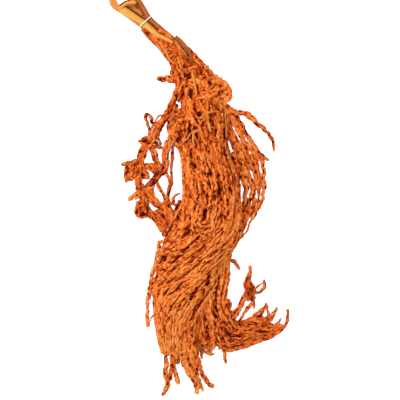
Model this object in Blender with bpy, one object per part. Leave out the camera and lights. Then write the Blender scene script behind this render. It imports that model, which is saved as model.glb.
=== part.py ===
# A tied bunch of dried hanging amaranth, lying on a surface.
# Four cut stems are held by a white band. Each carries a seed head of long, knobbly tassels.
# The bunch lies in the XY plane with its stem ends towards +Y, and Z is up from the surface.
# The origin is the middle of the flat spot under the heads, where the bunch rests.
# Every length below is in millimetres. Objects are made in metres.

import math
import random

import bmesh
import bpy
import numpy as np

MM = 0.001
SEED = 11
GAP = 0.35
ORIGIN = np.array([-8.0, 56.0, 0.0])

# Tassels: a full one's radius, its sides, the relief of its seed clusters, and how narrow its tip is.
TASSEL_RADIUS = 5.2
TASSEL_SIDES = 5
KNOB_RELIEF = 0.2
TIP_SHARE = 0.62
# Ring spacing of single tassels and of those in tiers, which have fewer route points.
RING_SPACING = 24.0
TIER_RING_SPACING = 36.0
TIER_POINTS = 9
# How far a tassel in a tier sways from side to side, and how fast along the head.
LEAST_SWAY = 3.0
MOST_SWAY = 8.0
SWAY_PACE = 20.0
# A tassel ends a little narrower than it starts. A single one comes down early and is a little uneven.
END_SHARE = 0.85
DESCENT_POWER = 0.8
HEIGHT_JITTER = 0.6
# No tassel comes nearer to the surface than this, apart from those that the bunch rests on.
LOWEST = 0.8
# How deep the roots of the tassels are sunk, and the core's outside, in tassel radii.
ROOT_DEPTH = 2.4
CORE_DEPTH = 1.2

# Cores: sides of a section, stations along it, how boxy a section is and how late its edges droop.
# The core ends short of the tassels, by shares of the head's length, and rounds off over its end.
CORE_SIDES = 14
CORE_STATIONS = 17
CORE_SQUARENESS = 0.8
CORE_LENGTH = 0.98
CORE_END_SHARE = 0.09
CORE_TIP_FULLNESS = 0.3
DROOP_POWER = 3

# Stalks: sides, ring spacing and height of the ribs.
STALK_SIDES = 8
STALK_RING_SPACING = 14.0
RIB_HEIGHT = 0.05

# The band that ties the stalks: where its plane is, which way it faces, and its section.
TIE_CENTRE = np.array([-112.5, 386.5, 0.0])
TIE_ACROSS = np.array([0.739, 0.675, 0.0])
TIE_CORD_RADIUS = 1.1
TIE_SLACK = 0.7
TIE_SIDES = 5
TIE_STEPS = 24

# Each head is a bundle between a left and a right edge, with a middle line between them.
# Lines run from the tie to the tassel ends and have one point for each station.
# Low, high and edge are the heights of a section's bottom, top and side edges.
TOP_HEAD = {
    "left": [(-110, 371), (-94, 344), (-76, 316), (-66, 284), (-61, 250), (-68, 212), (-66, 172), (-48, 130),
             (-46, 90), (-45, 50), (-60, 12), (-80, -24), (-96, -58), (-106, -100), (-103, -150), (-98, -200),
             (-87, -246)],
    "middle": [(-106, 377), (-79, 352), (-52, 326), (-30, 294), (-14, 258), (-8, 220), (0, 180), (8, 138),
               (12, 98), (14, 57), (12, 17), (-2, -24), (-28, -66), (-48, -112), (-60, -160), (-62, -204),
               (-60, -250)],
    "right": [(-100, 383), (-64, 361), (-30, 337), (2, 306), (30, 272), (46, 232), (57, 188), (60, 146),
              (68, 104), (71, 62), (77, 22), (72, -18), (46, -62), (22, -112), (4, -160), (-12, -206),
              (-26, -252)],
    "low": [25, 25, 26, 27, 29, 30, 31, 31, 31, 31, 31, 31, 30, 29, 26, 19, 11],
    "high": [35, 39, 47, 51, 55, 59, 63, 65, 66, 66, 65, 64, 62, 59, 54, 44, 28],
    "edge": [30, 31, 32, 30, 25, 21, 19, 18, 18, 18, 20, 22, 19, 16, 15, 14, 13],
}
UNDER_HEAD = {
    "left": [(-96, 364), (-74, 342), (-52, 312), (-38, 284), (-36, 250), (-44, 212), (-48, 172), (-46, 130),
             (-46, 90), (-46, 50), (-46, 12), (-48, -24), (-58, -60), (-74, -105), (-82, -150), (-84, -190),
             (-74, -230)],
    "middle": [(-94, 369), (-66, 346), (-38, 318), (-20, 290), (-8, 256), (-2, 218), (2, 178), (4, 136),
               (5, 96), (6, 56), (8, 16), (6, -24), (-2, -62), (-11, -106), (-16, -150), (-12, -194),
               (-8, -236)],
    "right": [(-91, 374), (-58, 351), (-25, 325), (0, 296), (20, 262), (36, 224), (48, 184), (54, 142),
              (60, 102), (65, 60), (70, 18), (66, -20), (51, -64), (48, -108), (43, -150), (54, -184),
              (56, -234)],
    "low": [12, 8, 6, 5, 5, 4, 3, 1, 0, 0, 0, 1, 2, 3, 4, 4, 5],
    "high": [24, 25, 27, 30, 34, 38, 40, 41, 41, 41, 41, 40, 38, 34, 30, 24, 16],
    "edge": [18, 16, 15, 15, 15, 14, 14, 14, 14, 14, 14, 14, 14, 13, 12, 11, 10],
}
TAIL_SPRAY = {
    "left": [(8, -206), (38, -236), (70, -235), (100, -226), (128, -214), (152, -198)],
    "middle": [(26, -178), (48, -208), (74, -208), (100, -203), (126, -199), (150, -191)],
    "right": [(44, -160), (60, -182), (78, -181), (100, -180), (124, -184), (148, -185)],
    "low": [5, 4, 3, 3, 3, 4],
    "high": [22, 22, 20, 18, 14, 9],
    "edge": [11, 10, 9, 8, 7, 6],
}

# Tiers of tassels that cover a head: how many, the angles round the section in degrees that they span,
# and the shares of the head's length where they start and end.
TOP_TIERS = [(7, -8, 188, 0.04, 0.36), (13, -18, 198, 0.3, 0.66), (14, -18, 198, 0.6, 1.0),
             (3, 206, 245, 0.62, 0.98)]
UNDER_TIERS = [(5, 190, 350, 0.04, 0.4), (7, 172, 368, 0.34, 0.7), (8, 172, 368, 0.64, 1.0),
               (6, 8, 130, 0.72, 1.0)]
TAIL_TIERS = [(7, -20, 300, 0.05, 0.98)]

# Single tassels: radius at the root and tip, height at the root and tip, and the route seen from above.
TOP_SINGLES = [
    (6.4, 6.0, 30, 22, [(-46, 280), (-60, 280), (-75, 279), (-90, 279)]),
    (4.8, 3.8, 40, 34, [(6, 282), (24, 284), (40, 274), (50, 260), (49, 246), (41, 234), (30, 232)]),
    (4.2, 3.4, 44, 38, [(0, 272), (16, 264), (32, 268), (44, 272)]),
    (4.8, 3.6, 22, 6, [(-74, -214), (-75, -244), (-75, -266), (-76, -282), (-72, -296)]),
    (4.8, 4.2, 26, 6, [(-62, -216), (-60, -252), (-61, -272), (-67, -289), (-72, -304), (-80, -319),
                       (-82, -328)]),
    (4.6, 4.6, 26, 6, [(-58, -240), (-58, -272), (-55, -286), (-50, -301)]),
    (5.0, 3.8, 28, 6, [(-46, -212), (-45, -252), (-39, -270), (-29, -284), (-19, -297), (-16, -320)]),
    (5.0, 3.8, 28, 6, [(-37, -218), (-34, -258), (-27, -280), (-17, -298), (-8, -307), (-4, -318)]),
    (5.2, 5.0, 32, 6, [(-30, -206), (-27, -236), (-18, -260), (-9, -278), (2, -293), (16, -304)]),
    (4.8, 3.6, 24, 7, [(-84, -84), (-98, -92), (-106, -106), (-106, -122), (-110, -140), (-111, -164),
                       (-110, -188)]),
    (4.8, 4.4, 30, 20, [(-68, -28), (-82, -32), (-91, -42), (-93, -58), (-86, -74)]),
]
UNDER_SINGLES = [
    (3.6, 2.8, 15, 5, [(36, -62), (48, -66), (58, -73), (65, -85)]),
    (4.4, 4.0, 14, 8, [(46, -176), (57, -166), (66, -152), (74, -138), (80, -124), (81, -108), (82, -94),
                       (86, -78)]),
    (4.4, 2.8, 9, 9, [(74, -134), (86, -136), (98, -131), (108, -124), (112, -108)]),
    (4.0, 2.8, 9, 6, [(80, -108), (87, -118), (91, -132), (92, -148), (94, -162)]),
    (3.4, 2.8, 9, 6, [(90, -148), (82, -160), (74, -174), (66, -186)]),
    (4.4, 3.2, 14, 7, [(70, -192), (88, -184), (102, -173), (112, -164), (118, -152)]),
    (4.4, 3.2, 12, 6, [(96, -196), (112, -185), (126, -175), (135, -169), (136, -157)]),
    (4.8, 3.4, 9, 7, [(60, -232), (92, -227), (124, -214), (147, -201), (158, -186), (160, -164)]),
    (4.2, 4.0, 12, 6, [(34, -212), (36, -230), (37, -246), (39, -262)]),
    (4.0, 3.0, 10, 6, [(-14, -216), (-12, -236), (-13, -260)]),
]
RIGHT_STEM = (8.0, 4.6, 16, 12, [
    (18, 282), (34, 262), (41, 240), (50, 218), (64, 196), (79, 166), (91, 138), (100, 108), (101, 76),
    (96, 46), (86, 18), (76, -6), (62, -30)])
RIGHT_SINGLES = [
    (5.0, 2.8, 15, 8, [(41, 238), (50, 216), (64, 213), (75, 209), (86, 203), (96, 195), (106, 187),
                       (115, 178), (123, 168), (128, 155), (130, 142)]),
    (4.8, 2.8, 13, 6, [(56, 208), (70, 190), (84, 168), (95, 148), (106, 133), (121, 124)]),
    (4.8, 3.4, 12, 6, [(92, 134), (105, 120), (112, 102), (114, 82), (112, 62), (106, 42), (97, 22),
                       (91, 8)]),
    (4.8, 3.8, 13, 9, [(96, 122), (84, 118), (79, 104), (84, 88), (94, 74), (100, 58)]),
    (5.0, 4.0, 13, 9, [(97, 84), (88, 78), (82, 60), (82, 42), (84, 26), (82, 8)]),
    (4.6, 3.6, 12, 7, [(101, 84), (107, 66), (104, 48), (96, 30), (88, 14), (83, -4), (72, -20)]),
    (4.8, 4.0, 13, 9, [(96, 118), (84, 124), (76, 112), (75, 94), (78, 76), (80, 60)]),
    (4.8, 4.0, 12, 10, [(48, 220), (60, 194), (70, 172), (78, 150), (88, 132)]),
    (5.4, 5.0, 12, 10, [(86, 150), (72, 152), (64, 138), (66, 118), (74, 100)]),
    (5.4, 5.0, 12, 10, [(84, 56), (76, 40), (74, 20), (70, -2)]),
]
LEFT_STEM = (8.6, 4.8, 15, 12, [
    (-95, 346), (-78, 322), (-64, 298), (-55, 276), (-53, 256), (-60, 236), (-73, 214), (-89, 190),
    (-106, 164), (-119, 138), (-125, 112), (-124, 86), (-119, 60), (-108, 40), (-94, 22), (-80, 6), (-66, -12)])
LEFT_SINGLES = [
    (5.6, 4.2, 13, 8, [(-62, 232), (-69, 204), (-72, 172), (-76, 142), (-80, 116), (-92, 95), (-106, 79),
                       (-120, 66)]),
    (5.0, 4.0, 11, 8, [(-84, 110), (-74, 96), (-69, 76), (-70, 56), (-76, 40), (-78, 22), (-74, 2)]),
    (5.0, 4.2, 10, 8, [(-96, 88), (-88, 72), (-82, 56), (-76, 38)]),
    (4.0, 3.0, 13, 8, [(-98, 178), (-110, 190), (-114, 204), (-107, 211), (-100, 199), (-88, 198),
                       (-80, 206)]),
    (4.8, 4.6, 11, 7, [(-116, 124), (-134, 119), (-148, 116), (-160, 115)]),
    (4.8, 4.8, 10, 7, [(-120, 96), (-136, 90), (-152, 85)]),
    (5.4, 4.2, 11, 7, [(-120, 108), (-138, 104), (-149, 98)]),
    (4.6, 3.6, 10, 7, [(-116, 58), (-134, 60), (-145, 56), (-146, 48)]),
    (5.0, 4.4, 11, 9, [(-112, 44), (-127, 38), (-132, 27), (-124, 17), (-108, 16), (-92, 16)]),
    (5.0, 4.4, 10, 8, [(-118, 58), (-124, 40), (-112, 28), (-98, 22)]),
    (4.0, 2.8, 12, 7, [(-102, 164), (-118, 162), (-128, 159)]),
    (5.0, 4.4, 13, 11, [(-118, 72), (-104, 54), (-92, 36), (-78, 22), (-66, 6), (-56, -14)]),
    (5.0, 4.4, 12, 10, [(-106, 36), (-98, 12), (-86, -6), (-78, -20), (-66, -32)]),
    (4.2, 3.2, 11, 11, [(-74, 22), (-62, 40), (-60, 54), (-50, 58)]),
    (5.8, 4.8, 12, 9, [(-106, 162), (-100, 146), (-97, 128), (-95, 110), (-100, 94), (-112, 84)]),
    (5.0, 4.4, 11, 9, [(-122, 112), (-110, 107), (-96, 105), (-82, 108)]),
    (5.0, 4.4, 11, 9, [(-88, 186), (-86, 168), (-80, 152), (-76, 134)]),
    (6.0, 5.6, 11, 9, [(-88, 22), (-72, 26), (-60, 20), (-50, 2)]),
    (3.6, 3.2, 11, 9, [(-68, 200), (-63, 160), (-64, 124), (-65, 92), (-70, 66)]),
]

# Tassels that are pressed flat under the middle of the bunch's weight, where it rests.
RESTING_RADIUS = 6.4
RESTING_HEIGHT = 4.8
RESTING_TURN = 0.25
RESTING_ROUTES = [
    [(-20, 108), (-23, 82), (-22, 56), (-20, 30), (-22, 6)],
    [(-8, 116), (-9, 86), (-8, 56), (-6, 26), (-8, 0)],
    [(4, 108), (5, 82), (6, 56), (8, 30), (6, 6)],
]

# Stalks: radii at the cut end and inside the head, and the route in space, from the cut end inwards.
STALKS = {
    "stalk_tan": (8.4, 5.0, [(-166, 418, 29), (-144, 400, 30), (-117, 382.4, 31), (-98, 367, 33),
                             (-80, 353, 36), (-60, 338, 38), (-42, 314, 41)]),
    "stalk_brown": (6.2, 4.4, [(-129, 442, 27), (-117, 418, 28), (-105.9, 392.6, 29), (-86, 376, 29),
                               (-62, 357, 28), (-36, 334, 27), (-8, 309, 24), (12, 290, 18), (30, 267, 16)]),
    "stalk_orange": (6.6, 4.0, [(-150, 443, 20), (-136, 425, 19), (-123, 408, 17.5), (-108.1, 390.6, 15.6),
                                (-88, 368, 15), (-62, 340, 15), (-40, 314, 15)]),
    "stalk_rust": (6.6, 4.4, [(-172, 440, 18), (-154, 422, 16), (-136, 403, 15), (-118.4, 381.1, 15.4),
                              (-104, 360, 15), (-88, 336, 15), (-72, 311, 15)]),
}
# The tan stalk's cut end is split in two prongs.
TAN_PRONGS = [
    (6.0, 4.2, [(-158, 411, 29), (-170, 416, 28), (-178, 427, 28), (-181, 441, 28)]),
    (4.6, 2.8, [(-154, 411, 32), (-150, 418, 37), (-142, 424, 41), (-131, 428, 42), (-122, 430, 42)]),
]

COLOURS = {
    "tassel": ((0.66, 0.17, 0.025), 0.85),
    "stalk_tan": ((0.80, 0.42, 0.10), 0.6),
    "stalk_brown": ((0.36, 0.13, 0.05), 0.7),
    "stalk_orange": ((0.66, 0.22, 0.05), 0.65),
    "stalk_rust": ((0.52, 0.16, 0.04), 0.7),
    "tie": ((0.92, 0.90, 0.86), 0.5),
}


def clear_scene():
    for obj in list(bpy.data.objects):
        bpy.data.objects.remove(obj, do_unlink=True)


def material(name):
    colour, roughness = COLOURS[name]
    made = bpy.data.materials.new(name)
    made.use_nodes = True
    shader = made.node_tree.nodes["Principled BSDF"]
    shader.inputs["Base Color"].default_value = (*colour, 1.0)
    shader.inputs["Roughness"].default_value = roughness
    shader.inputs["Metallic"].default_value = 0.0
    return made


def on_spline(points, share):
    """The point at a share of the way along a smooth curve through the points."""
    points = np.asarray(points, float)
    place = min(max(share, 0.0), 1.0) * (len(points) - 1)
    i = min(int(place), len(points) - 2)
    u = place - i
    b, c = points[i], points[i + 1]
    a = points[i - 1] if i > 0 else 2 * b - c
    d = points[i + 2] if i + 2 < len(points) else 2 * c - b
    return 0.5 * (2 * b + (c - a) * u + (2 * a - 5 * b + 4 * c - d) * u**2 + (3 * b - a - 3 * c + d) * u**3)


def even_points(points, spacing):
    """Points about that far apart along the smooth curve through the given ones."""
    fine = np.array([on_spline(points, s) for s in np.linspace(0, 1, 12 * len(points))])
    travelled = np.concatenate([[0], np.cumsum(np.linalg.norm(np.diff(fine, axis=0), axis=1))])
    count = max(4, int(round(travelled[-1] / spacing)) + 1)
    wanted = np.linspace(0, travelled[-1], count)
    return np.stack([np.interp(wanted, travelled, fine[:, k]) for k in range(3)], axis=1)


def object_from(bm, name):
    """An object from a mesh worked out in millimetres, moved so that the resting spot is the origin."""
    bmesh.ops.translate(bm, verts=bm.verts, vec=-ORIGIN)
    bmesh.ops.scale(bm, verts=bm.verts, vec=(MM, MM, MM))
    bmesh.ops.recalc_face_normals(bm, faces=bm.faces)
    mesh = bpy.data.meshes.new(name)
    bm.to_mesh(mesh)
    bm.free()
    obj = bpy.data.objects.new(name, mesh)
    bpy.context.scene.collection.objects.link(obj)
    return obj


def bridge_rings(bm, rings, closed=False, split=False):
    """Faces between each ring of points and the next, and back to the first if closed."""
    followers = rings[1:] + rings[:1] if closed else rings[1:]
    for first, second in zip(rings, followers):
        for k in range(len(first)):
            n = (k + 1) % len(first)
            if split:
                bm.faces.new((first[k], first[n], second[n]))
                bm.faces.new((first[k], second[n], second[k]))
            else:
                bm.faces.new((first[k], first[n], second[n], second[k]))


def swept_object(name, path, radii, sides, ribs=0.0, turn=0.0, pointed=True):
    """A tube along a path of points, closed at the root and pointed or flat at the tip."""
    tangents = np.gradient(path, axis=0)
    tangents /= np.linalg.norm(tangents, axis=1)[:, None]
    side = np.cross(tangents[0], [0, 0, 1])
    bm = bmesh.new()
    rings = []
    for spot, tangent, radius in zip(path, tangents, radii):
        side = side - tangent * (side @ tangent)
        side /= np.linalg.norm(side)
        up = np.cross(side, tangent)
        ring = []
        for k in range(sides):
            angle = 2 * math.pi * (k + turn) / sides
            reach = radius * (1 - ribs * (k % 2))
            point = spot + reach * (math.cos(angle) * side + math.sin(angle) * up)
            point[2] = max(point[2], 0.0)
            ring.append(bm.verts.new(point))
        rings.append(ring)
    bridge_rings(bm, rings)
    bm.faces.new(rings[0])
    if pointed:
        tip = bm.verts.new(path[-1] + tangents[-1] * radii[-1])
        for k in range(sides):
            bm.faces.new((rings[-1][k], rings[-1][(k + 1) % sides], tip))
    else:
        bm.faces.new(rings[-1])
    return object_from(bm, name)


def section_point(head, share, angle, inset, fullness=1.0):
    """A point of a head's section, inside its outline by the inset. Angle 0 is the right edge, 90 the top."""
    left, middle, right = (on_spline(head[line], share) for line in ("left", "middle", "right"))
    low, high, edge = (on_spline([[z] for z in head[line]], share)[0] for line in ("low", "high", "edge"))
    half_width = np.linalg.norm(right - left) / 2
    across = math.cos(angle) * fullness * max(half_width - inset, 0.5) / half_width
    rise = math.copysign(abs(math.sin(angle)) ** CORE_SQUARENESS, math.sin(angle))
    spot = middle + across * (right - left) / 2 + across**2 * ((left + right) / 2 - middle)
    droop = ((low + high) / 2 - edge) * abs(across) ** DROOP_POWER
    height = (low + high) / 2 - droop + rise * fullness * max((high - low) / 2 - inset, 0.5)
    return np.array([spot[0], spot[1], height])


def core_object(head, grown):
    """The smaller body inside a head, which its tassels stand out of."""
    bm = bmesh.new()
    inset = TASSEL_RADIUS * CORE_DEPTH - grown
    turns = [2 * math.pi * k / CORE_SIDES for k in range(CORE_SIDES)]
    rings = []
    for share in np.linspace(0.0, CORE_LENGTH, CORE_STATIONS):
        fullness = max(math.sqrt(min(1.0, (CORE_LENGTH - share) / CORE_END_SHARE)), CORE_TIP_FULLNESS)
        rings.append([bm.verts.new(section_point(head, share, turn, inset, fullness)) for turn in turns])
    bridge_rings(bm, rings, split=True)
    bm.faces.new(rings[0])
    bm.faces.new(rings[-1])
    return object_from(bm, "core")


def even_angles(head, share, first, last, count):
    """Angles that space points evenly round a section, from the first angle to the last."""
    angles = np.radians(np.linspace(first, last, 61))
    outline = np.array([section_point(head, share, angle, TASSEL_RADIUS) for angle in angles])
    travelled = np.concatenate([[0], np.cumsum(np.linalg.norm(np.diff(outline, axis=0), axis=1))])
    return np.interp(np.linspace(0, travelled[-1], count), travelled, angles)


def tassel_object(path, root_radius, tip_radius, turn, grown):
    """One tassel: its radius swells at every other ring, as its seed clusters do."""
    count = len(path)
    radii = np.linspace(root_radius, tip_radius, count)
    radii *= 1 + KNOB_RELIEF * np.where(np.arange(count) % 2, 1.0, -0.5)
    radii[-1] = tip_radius * TIP_SHARE
    radii = np.minimum(radii, path[:, 2] - LOWEST) + grown
    return swept_object("tassel", path, radii, TASSEL_SIDES, turn=turn)


def single_tassel(single, grown, draw):
    root_radius, tip_radius, root_height, tip_height, route = single
    share = np.linspace(0, 1, len(route))
    heights = root_height + (tip_height - root_height) * share**DESCENT_POWER
    path = even_points(np.column_stack([np.asarray(route, float), heights]), RING_SPACING)
    path[1:-1, 2] += [draw.uniform(-HEIGHT_JITTER, HEIGHT_JITTER) for _ in path[1:-1]]
    return tassel_object(path, root_radius, tip_radius, draw.random(), grown)


def tier_tassels(head, tiers, grown, draw):
    """Tassels laid over a head's section, spaced by angle, each wandering a little from side to side."""
    made = []
    for count, first, last, start, end in tiers:
        angles = even_angles(head, (start + end) / 2, first, last, count)
        half_width = np.linalg.norm(np.subtract(head["right"], head["left"]), axis=1).max() / 2
        for angle, step in zip(angles, np.gradient(angles)):
            angle += step * draw.uniform(-0.2, 0.2)
            sway = draw.uniform(LEAST_SWAY, MOST_SWAY) / half_width
            phase = draw.uniform(0, 2 * math.pi)
            begins, ends = start + draw.uniform(-0.03, 0.05), min(end + draw.uniform(-0.05, 0.04), 1.0)
            points = []
            for share in np.linspace(begins, ends, TIER_POINTS):
                turn = angle + sway * math.sin(SWAY_PACE * share + phase)
                depth = ROOT_DEPTH if share == begins else 1.0
                points.append(section_point(head, share, turn, TASSEL_RADIUS * depth))
            path = even_points(points, TIER_RING_SPACING)
            path[:, 2] = np.maximum(path[:, 2], TASSEL_RADIUS + LOWEST)
            tip_radius = TASSEL_RADIUS * END_SHARE
            made.append(tassel_object(path, TASSEL_RADIUS, tip_radius, draw.random(), grown))
    return made


def combine(target, others, operation):
    """Joins the others to the target, or cuts them from it, and removes them."""
    group = bpy.data.collections.new("pieces")
    bpy.context.scene.collection.children.link(group)
    for obj in others:
        bpy.context.scene.collection.objects.unlink(obj)
        group.objects.link(obj)
    modifier = target.modifiers.new("combine", "BOOLEAN")
    modifier.operation = operation
    modifier.solver = "MANIFOLD"
    modifier.operand_type = "COLLECTION"
    modifier.collection = group
    bpy.context.view_layer.objects.active = target
    bpy.ops.object.modifier_apply(modifier=modifier.name)
    for obj in list(group.objects):
        bpy.data.objects.remove(obj, do_unlink=True)
    bpy.data.collections.remove(group)


def keep_largest_body(obj):
    """Drops the loose scraps that a cut leaves."""
    bm = bmesh.new()
    bm.from_mesh(obj.data)
    unseen, bodies = set(bm.verts), []
    while unseen:
        body, edge = set(), [unseen.pop()]
        while edge:
            vert = edge.pop()
            body.add(vert)
            near = [e.other_vert(vert) for e in vert.link_edges]
            edge += [v for v in near if v in unseen]
            unseen.difference_update(near)
        bodies.append(body)
    bodies.sort(key=len)
    for scrap in bodies[:-1]:
        bmesh.ops.delete(bm, geom=list(scrap), context="VERTS")
    bm.to_mesh(obj.data)
    bm.free()


def left_head(grown=0.0):
    draw = random.Random(SEED)
    body = single_tassel(LEFT_STEM, grown, draw)
    combine(body, [single_tassel(one, grown, draw) for one in LEFT_SINGLES], "UNION")
    return body


def right_head(grown=0.0):
    draw = random.Random(SEED + 1)
    body = single_tassel(RIGHT_STEM, grown, draw)
    combine(body, [single_tassel(one, grown, draw) for one in RIGHT_SINGLES], "UNION")
    return body


def top_head(grown=0.0):
    draw = random.Random(SEED + 2)
    body = core_object(TOP_HEAD, grown)
    tassels = tier_tassels(TOP_HEAD, TOP_TIERS, grown, draw)
    combine(body, tassels + [single_tassel(one, grown, draw) for one in TOP_SINGLES], "UNION")
    return body


def resting_tassel(route):
    """A tassel that lies on the surface, flat side down."""
    path = even_points([(x, y, RESTING_HEIGHT) for x, y in route], RING_SPACING)
    path[0, 2] = path[-1, 2] = RESTING_HEIGHT + RESTING_RADIUS
    return swept_object("tassel", path, np.full(len(path), RESTING_RADIUS), TASSEL_SIDES, turn=RESTING_TURN)


def under_head():
    draw = random.Random(SEED + 3)
    body = core_object(UNDER_HEAD, 0.0)
    tassels = tier_tassels(UNDER_HEAD, UNDER_TIERS, 0.0, draw)
    tassels += tier_tassels(TAIL_SPRAY, TAIL_TIERS, 0.0, draw)
    tassels += [single_tassel(one, 0.0, draw) for one in UNDER_SINGLES]
    tassels += [resting_tassel(route) for route in RESTING_ROUTES]
    combine(body, tassels + [core_object(TAIL_SPRAY, 0.0)], "UNION")
    return body


def stalk_solid(name, root_radius, tip_radius, route, grown=0.0):
    path = even_points(route, STALK_RING_SPACING)
    radii = np.linspace(root_radius, tip_radius, len(path)) + grown
    ribs = 0.0 if grown else RIB_HEIGHT
    return swept_object(name, path, radii, STALK_SIDES, ribs=ribs, pointed=grown > 0)


def stalk_object(name):
    stalk = stalk_solid(name, *STALKS[name])
    if name == "stalk_tan":
        combine(stalk, [stalk_solid("prong", *prong) for prong in TAN_PRONGS], "UNION")
    return stalk


def finish_head(body, name, neighbours, tassel_material):
    """Cuts away what is under a grown neighbour and bores the holes that the stalks stand in."""
    bores = [stalk_solid("bore", *STALKS[stalk], grown=GAP) for stalk in STALKS]
    combine(body, neighbours + bores, "DIFFERENCE")
    keep_largest_body(body)
    body.name = name
    body.data.materials.clear()
    body.data.materials.append(tassel_material)


def tie_object():
    """A round cord drawn tight round the four stalks, in the plane across them."""
    hoops = []
    for root_radius, tip_radius, route in STALKS.values():
        path = even_points(route, 2.0)
        nearest = int(np.argmin(np.linalg.norm(path[:, :2] - TIE_CENTRE[:2], axis=1)))
        radius = root_radius + (tip_radius - root_radius) * nearest / (len(path) - 1)
        offset = path[nearest] - TIE_CENTRE
        hoops.append((np.array([offset @ TIE_ACROSS, path[nearest][2]]), radius))
    along = np.cross(TIE_ACROSS, [0, 0, 1])
    bm = bmesh.new()
    rings = []
    for step in range(TIE_STEPS):
        angle = 2 * math.pi * step / TIE_STEPS
        way = np.array([math.cos(angle), math.sin(angle)])
        centre, radius = max(hoops, key=lambda hoop: hoop[0] @ way + hoop[1])
        middle = centre + way * (radius + TIE_SLACK + TIE_CORD_RADIUS)
        ring = []
        for k in range(TIE_SIDES):
            turn = 2 * math.pi * k / TIE_SIDES
            flat = middle + way * TIE_CORD_RADIUS * math.cos(turn)
            spot = TIE_CENTRE + flat[0] * TIE_ACROSS + along * TIE_CORD_RADIUS * math.sin(turn)
            spot[2] = flat[1]
            ring.append(bm.verts.new(spot))
        rings.append(ring)
    bridge_rings(bm, rings, closed=True)
    return object_from(bm, "tie")


def main():
    clear_scene()
    for name in STALKS:
        stalk_object(name).data.materials.append(material(name))
    tie_object().data.materials.append(material("tie"))
    tassel = material("tassel")
    finish_head(under_head(), "head_under", [left_head(GAP), right_head(GAP), top_head(GAP)], tassel)
    finish_head(top_head(), "head_top", [left_head(GAP), right_head(GAP)], tassel)
    finish_head(right_head(), "head_right", [], tassel)
    finish_head(left_head(), "head_left", [], tassel)


main()
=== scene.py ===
import bpy
import numpy as np
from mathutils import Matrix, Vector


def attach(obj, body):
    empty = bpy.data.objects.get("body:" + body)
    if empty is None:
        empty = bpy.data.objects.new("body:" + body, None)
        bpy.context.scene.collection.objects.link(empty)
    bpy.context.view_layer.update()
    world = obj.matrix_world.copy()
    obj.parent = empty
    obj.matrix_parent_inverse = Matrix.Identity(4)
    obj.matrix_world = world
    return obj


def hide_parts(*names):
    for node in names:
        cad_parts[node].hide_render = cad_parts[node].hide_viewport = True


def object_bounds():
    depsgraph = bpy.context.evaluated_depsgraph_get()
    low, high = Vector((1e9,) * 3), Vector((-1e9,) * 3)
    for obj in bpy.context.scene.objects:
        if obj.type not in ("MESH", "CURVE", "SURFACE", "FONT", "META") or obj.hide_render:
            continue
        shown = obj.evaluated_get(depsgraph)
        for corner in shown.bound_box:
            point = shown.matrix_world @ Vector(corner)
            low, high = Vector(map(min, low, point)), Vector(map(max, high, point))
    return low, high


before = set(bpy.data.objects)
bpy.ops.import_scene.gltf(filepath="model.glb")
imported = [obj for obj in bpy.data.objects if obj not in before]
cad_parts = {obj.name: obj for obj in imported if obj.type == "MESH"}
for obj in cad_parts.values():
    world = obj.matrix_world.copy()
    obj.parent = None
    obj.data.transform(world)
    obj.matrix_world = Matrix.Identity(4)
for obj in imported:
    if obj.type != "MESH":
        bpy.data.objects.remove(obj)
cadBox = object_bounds()
print("frame loaded:", ", ".join(sorted(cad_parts)))

millimetre = 0.001
bunchShift = np.array([8.0, -56.0, 0.0])  # the middle of the bunch, seen from the frame's origin
floorGap = 0.15  # no tassel comes nearer to the table than this
boxMargin = (0.0003, 0.0003, 0.0001)  # how far inside the solids' box every point stays, in metres
fewestMarks = 6  # a line is never read at fewer places


# curves

def smoothCurve(points, count):
    # Catmull-Rom: each stretch is the cubic through its two points that leans along their neighbours
    points = np.asarray(points, float)
    padded = np.vstack([2 * points[0] - points[1], points, 2 * points[-1] - points[-2]])
    place = np.linspace(0, len(points) - 1, count)
    i = np.minimum(place.astype(int), len(points) - 2)
    u = (place - i)[:, None]
    a, b, c, d = (padded[i + k] for k in range(4))
    return 0.5 * (2 * b + (c - a) * u + (2 * a - 5 * b + 4 * c - d) * u**2 + (3 * b - a - 3 * c + d) * u**3)


def travelledAlong(line):
    # the running sum of the lengths between points
    return np.concatenate([[0.0], np.cumsum(np.linalg.norm(np.diff(line, axis=0), axis=1))])


def evenSteps(line, step):
    # the line read back at marks that are one step of travelled length apart
    travelled = travelledAlong(line)
    marks = np.linspace(0.0, travelled[-1], max(fewestMarks, int(round(travelled[-1] / step)) + 1))
    return np.stack([np.interp(marks, travelled, column) for column in line.T], axis=1)


def waver(draw, count, knots):
    # smooth noise from -1 to 1: random heights at the knots, with the smooth curve between them
    return smoothCurve(draw.uniform(-1, 1, (max(int(knots), 2) + 1, 1)), count)[:, 0]


def unit(vectors):
    # each vector divided by its own length
    return vectors / np.maximum(np.linalg.norm(vectors, axis=-1, keepdims=True), 1e-9)


def easing(share):
    # 3 share² - 2 share³ between 0 and 1, and flat outside
    share = np.clip(share, 0.0, 1.0)
    return share * share * (3 - 2 * share)


def either(draw, reach):
    # a draw anywhere from -reach to reach
    return draw.uniform(-reach, reach)


def bothEnds(size):
    # one number stands for the same size at both ends
    return size if isinstance(size, tuple) else (size, size)


# surfaces

endLook = {
    "reach": 1.2,   # how long the rounding of an end is, in radii
    "least": 0.28,  # the share of the radius that is left at the very end
    "pole": 0.2,    # how far the middle of an end stands out, in radii
}


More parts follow.
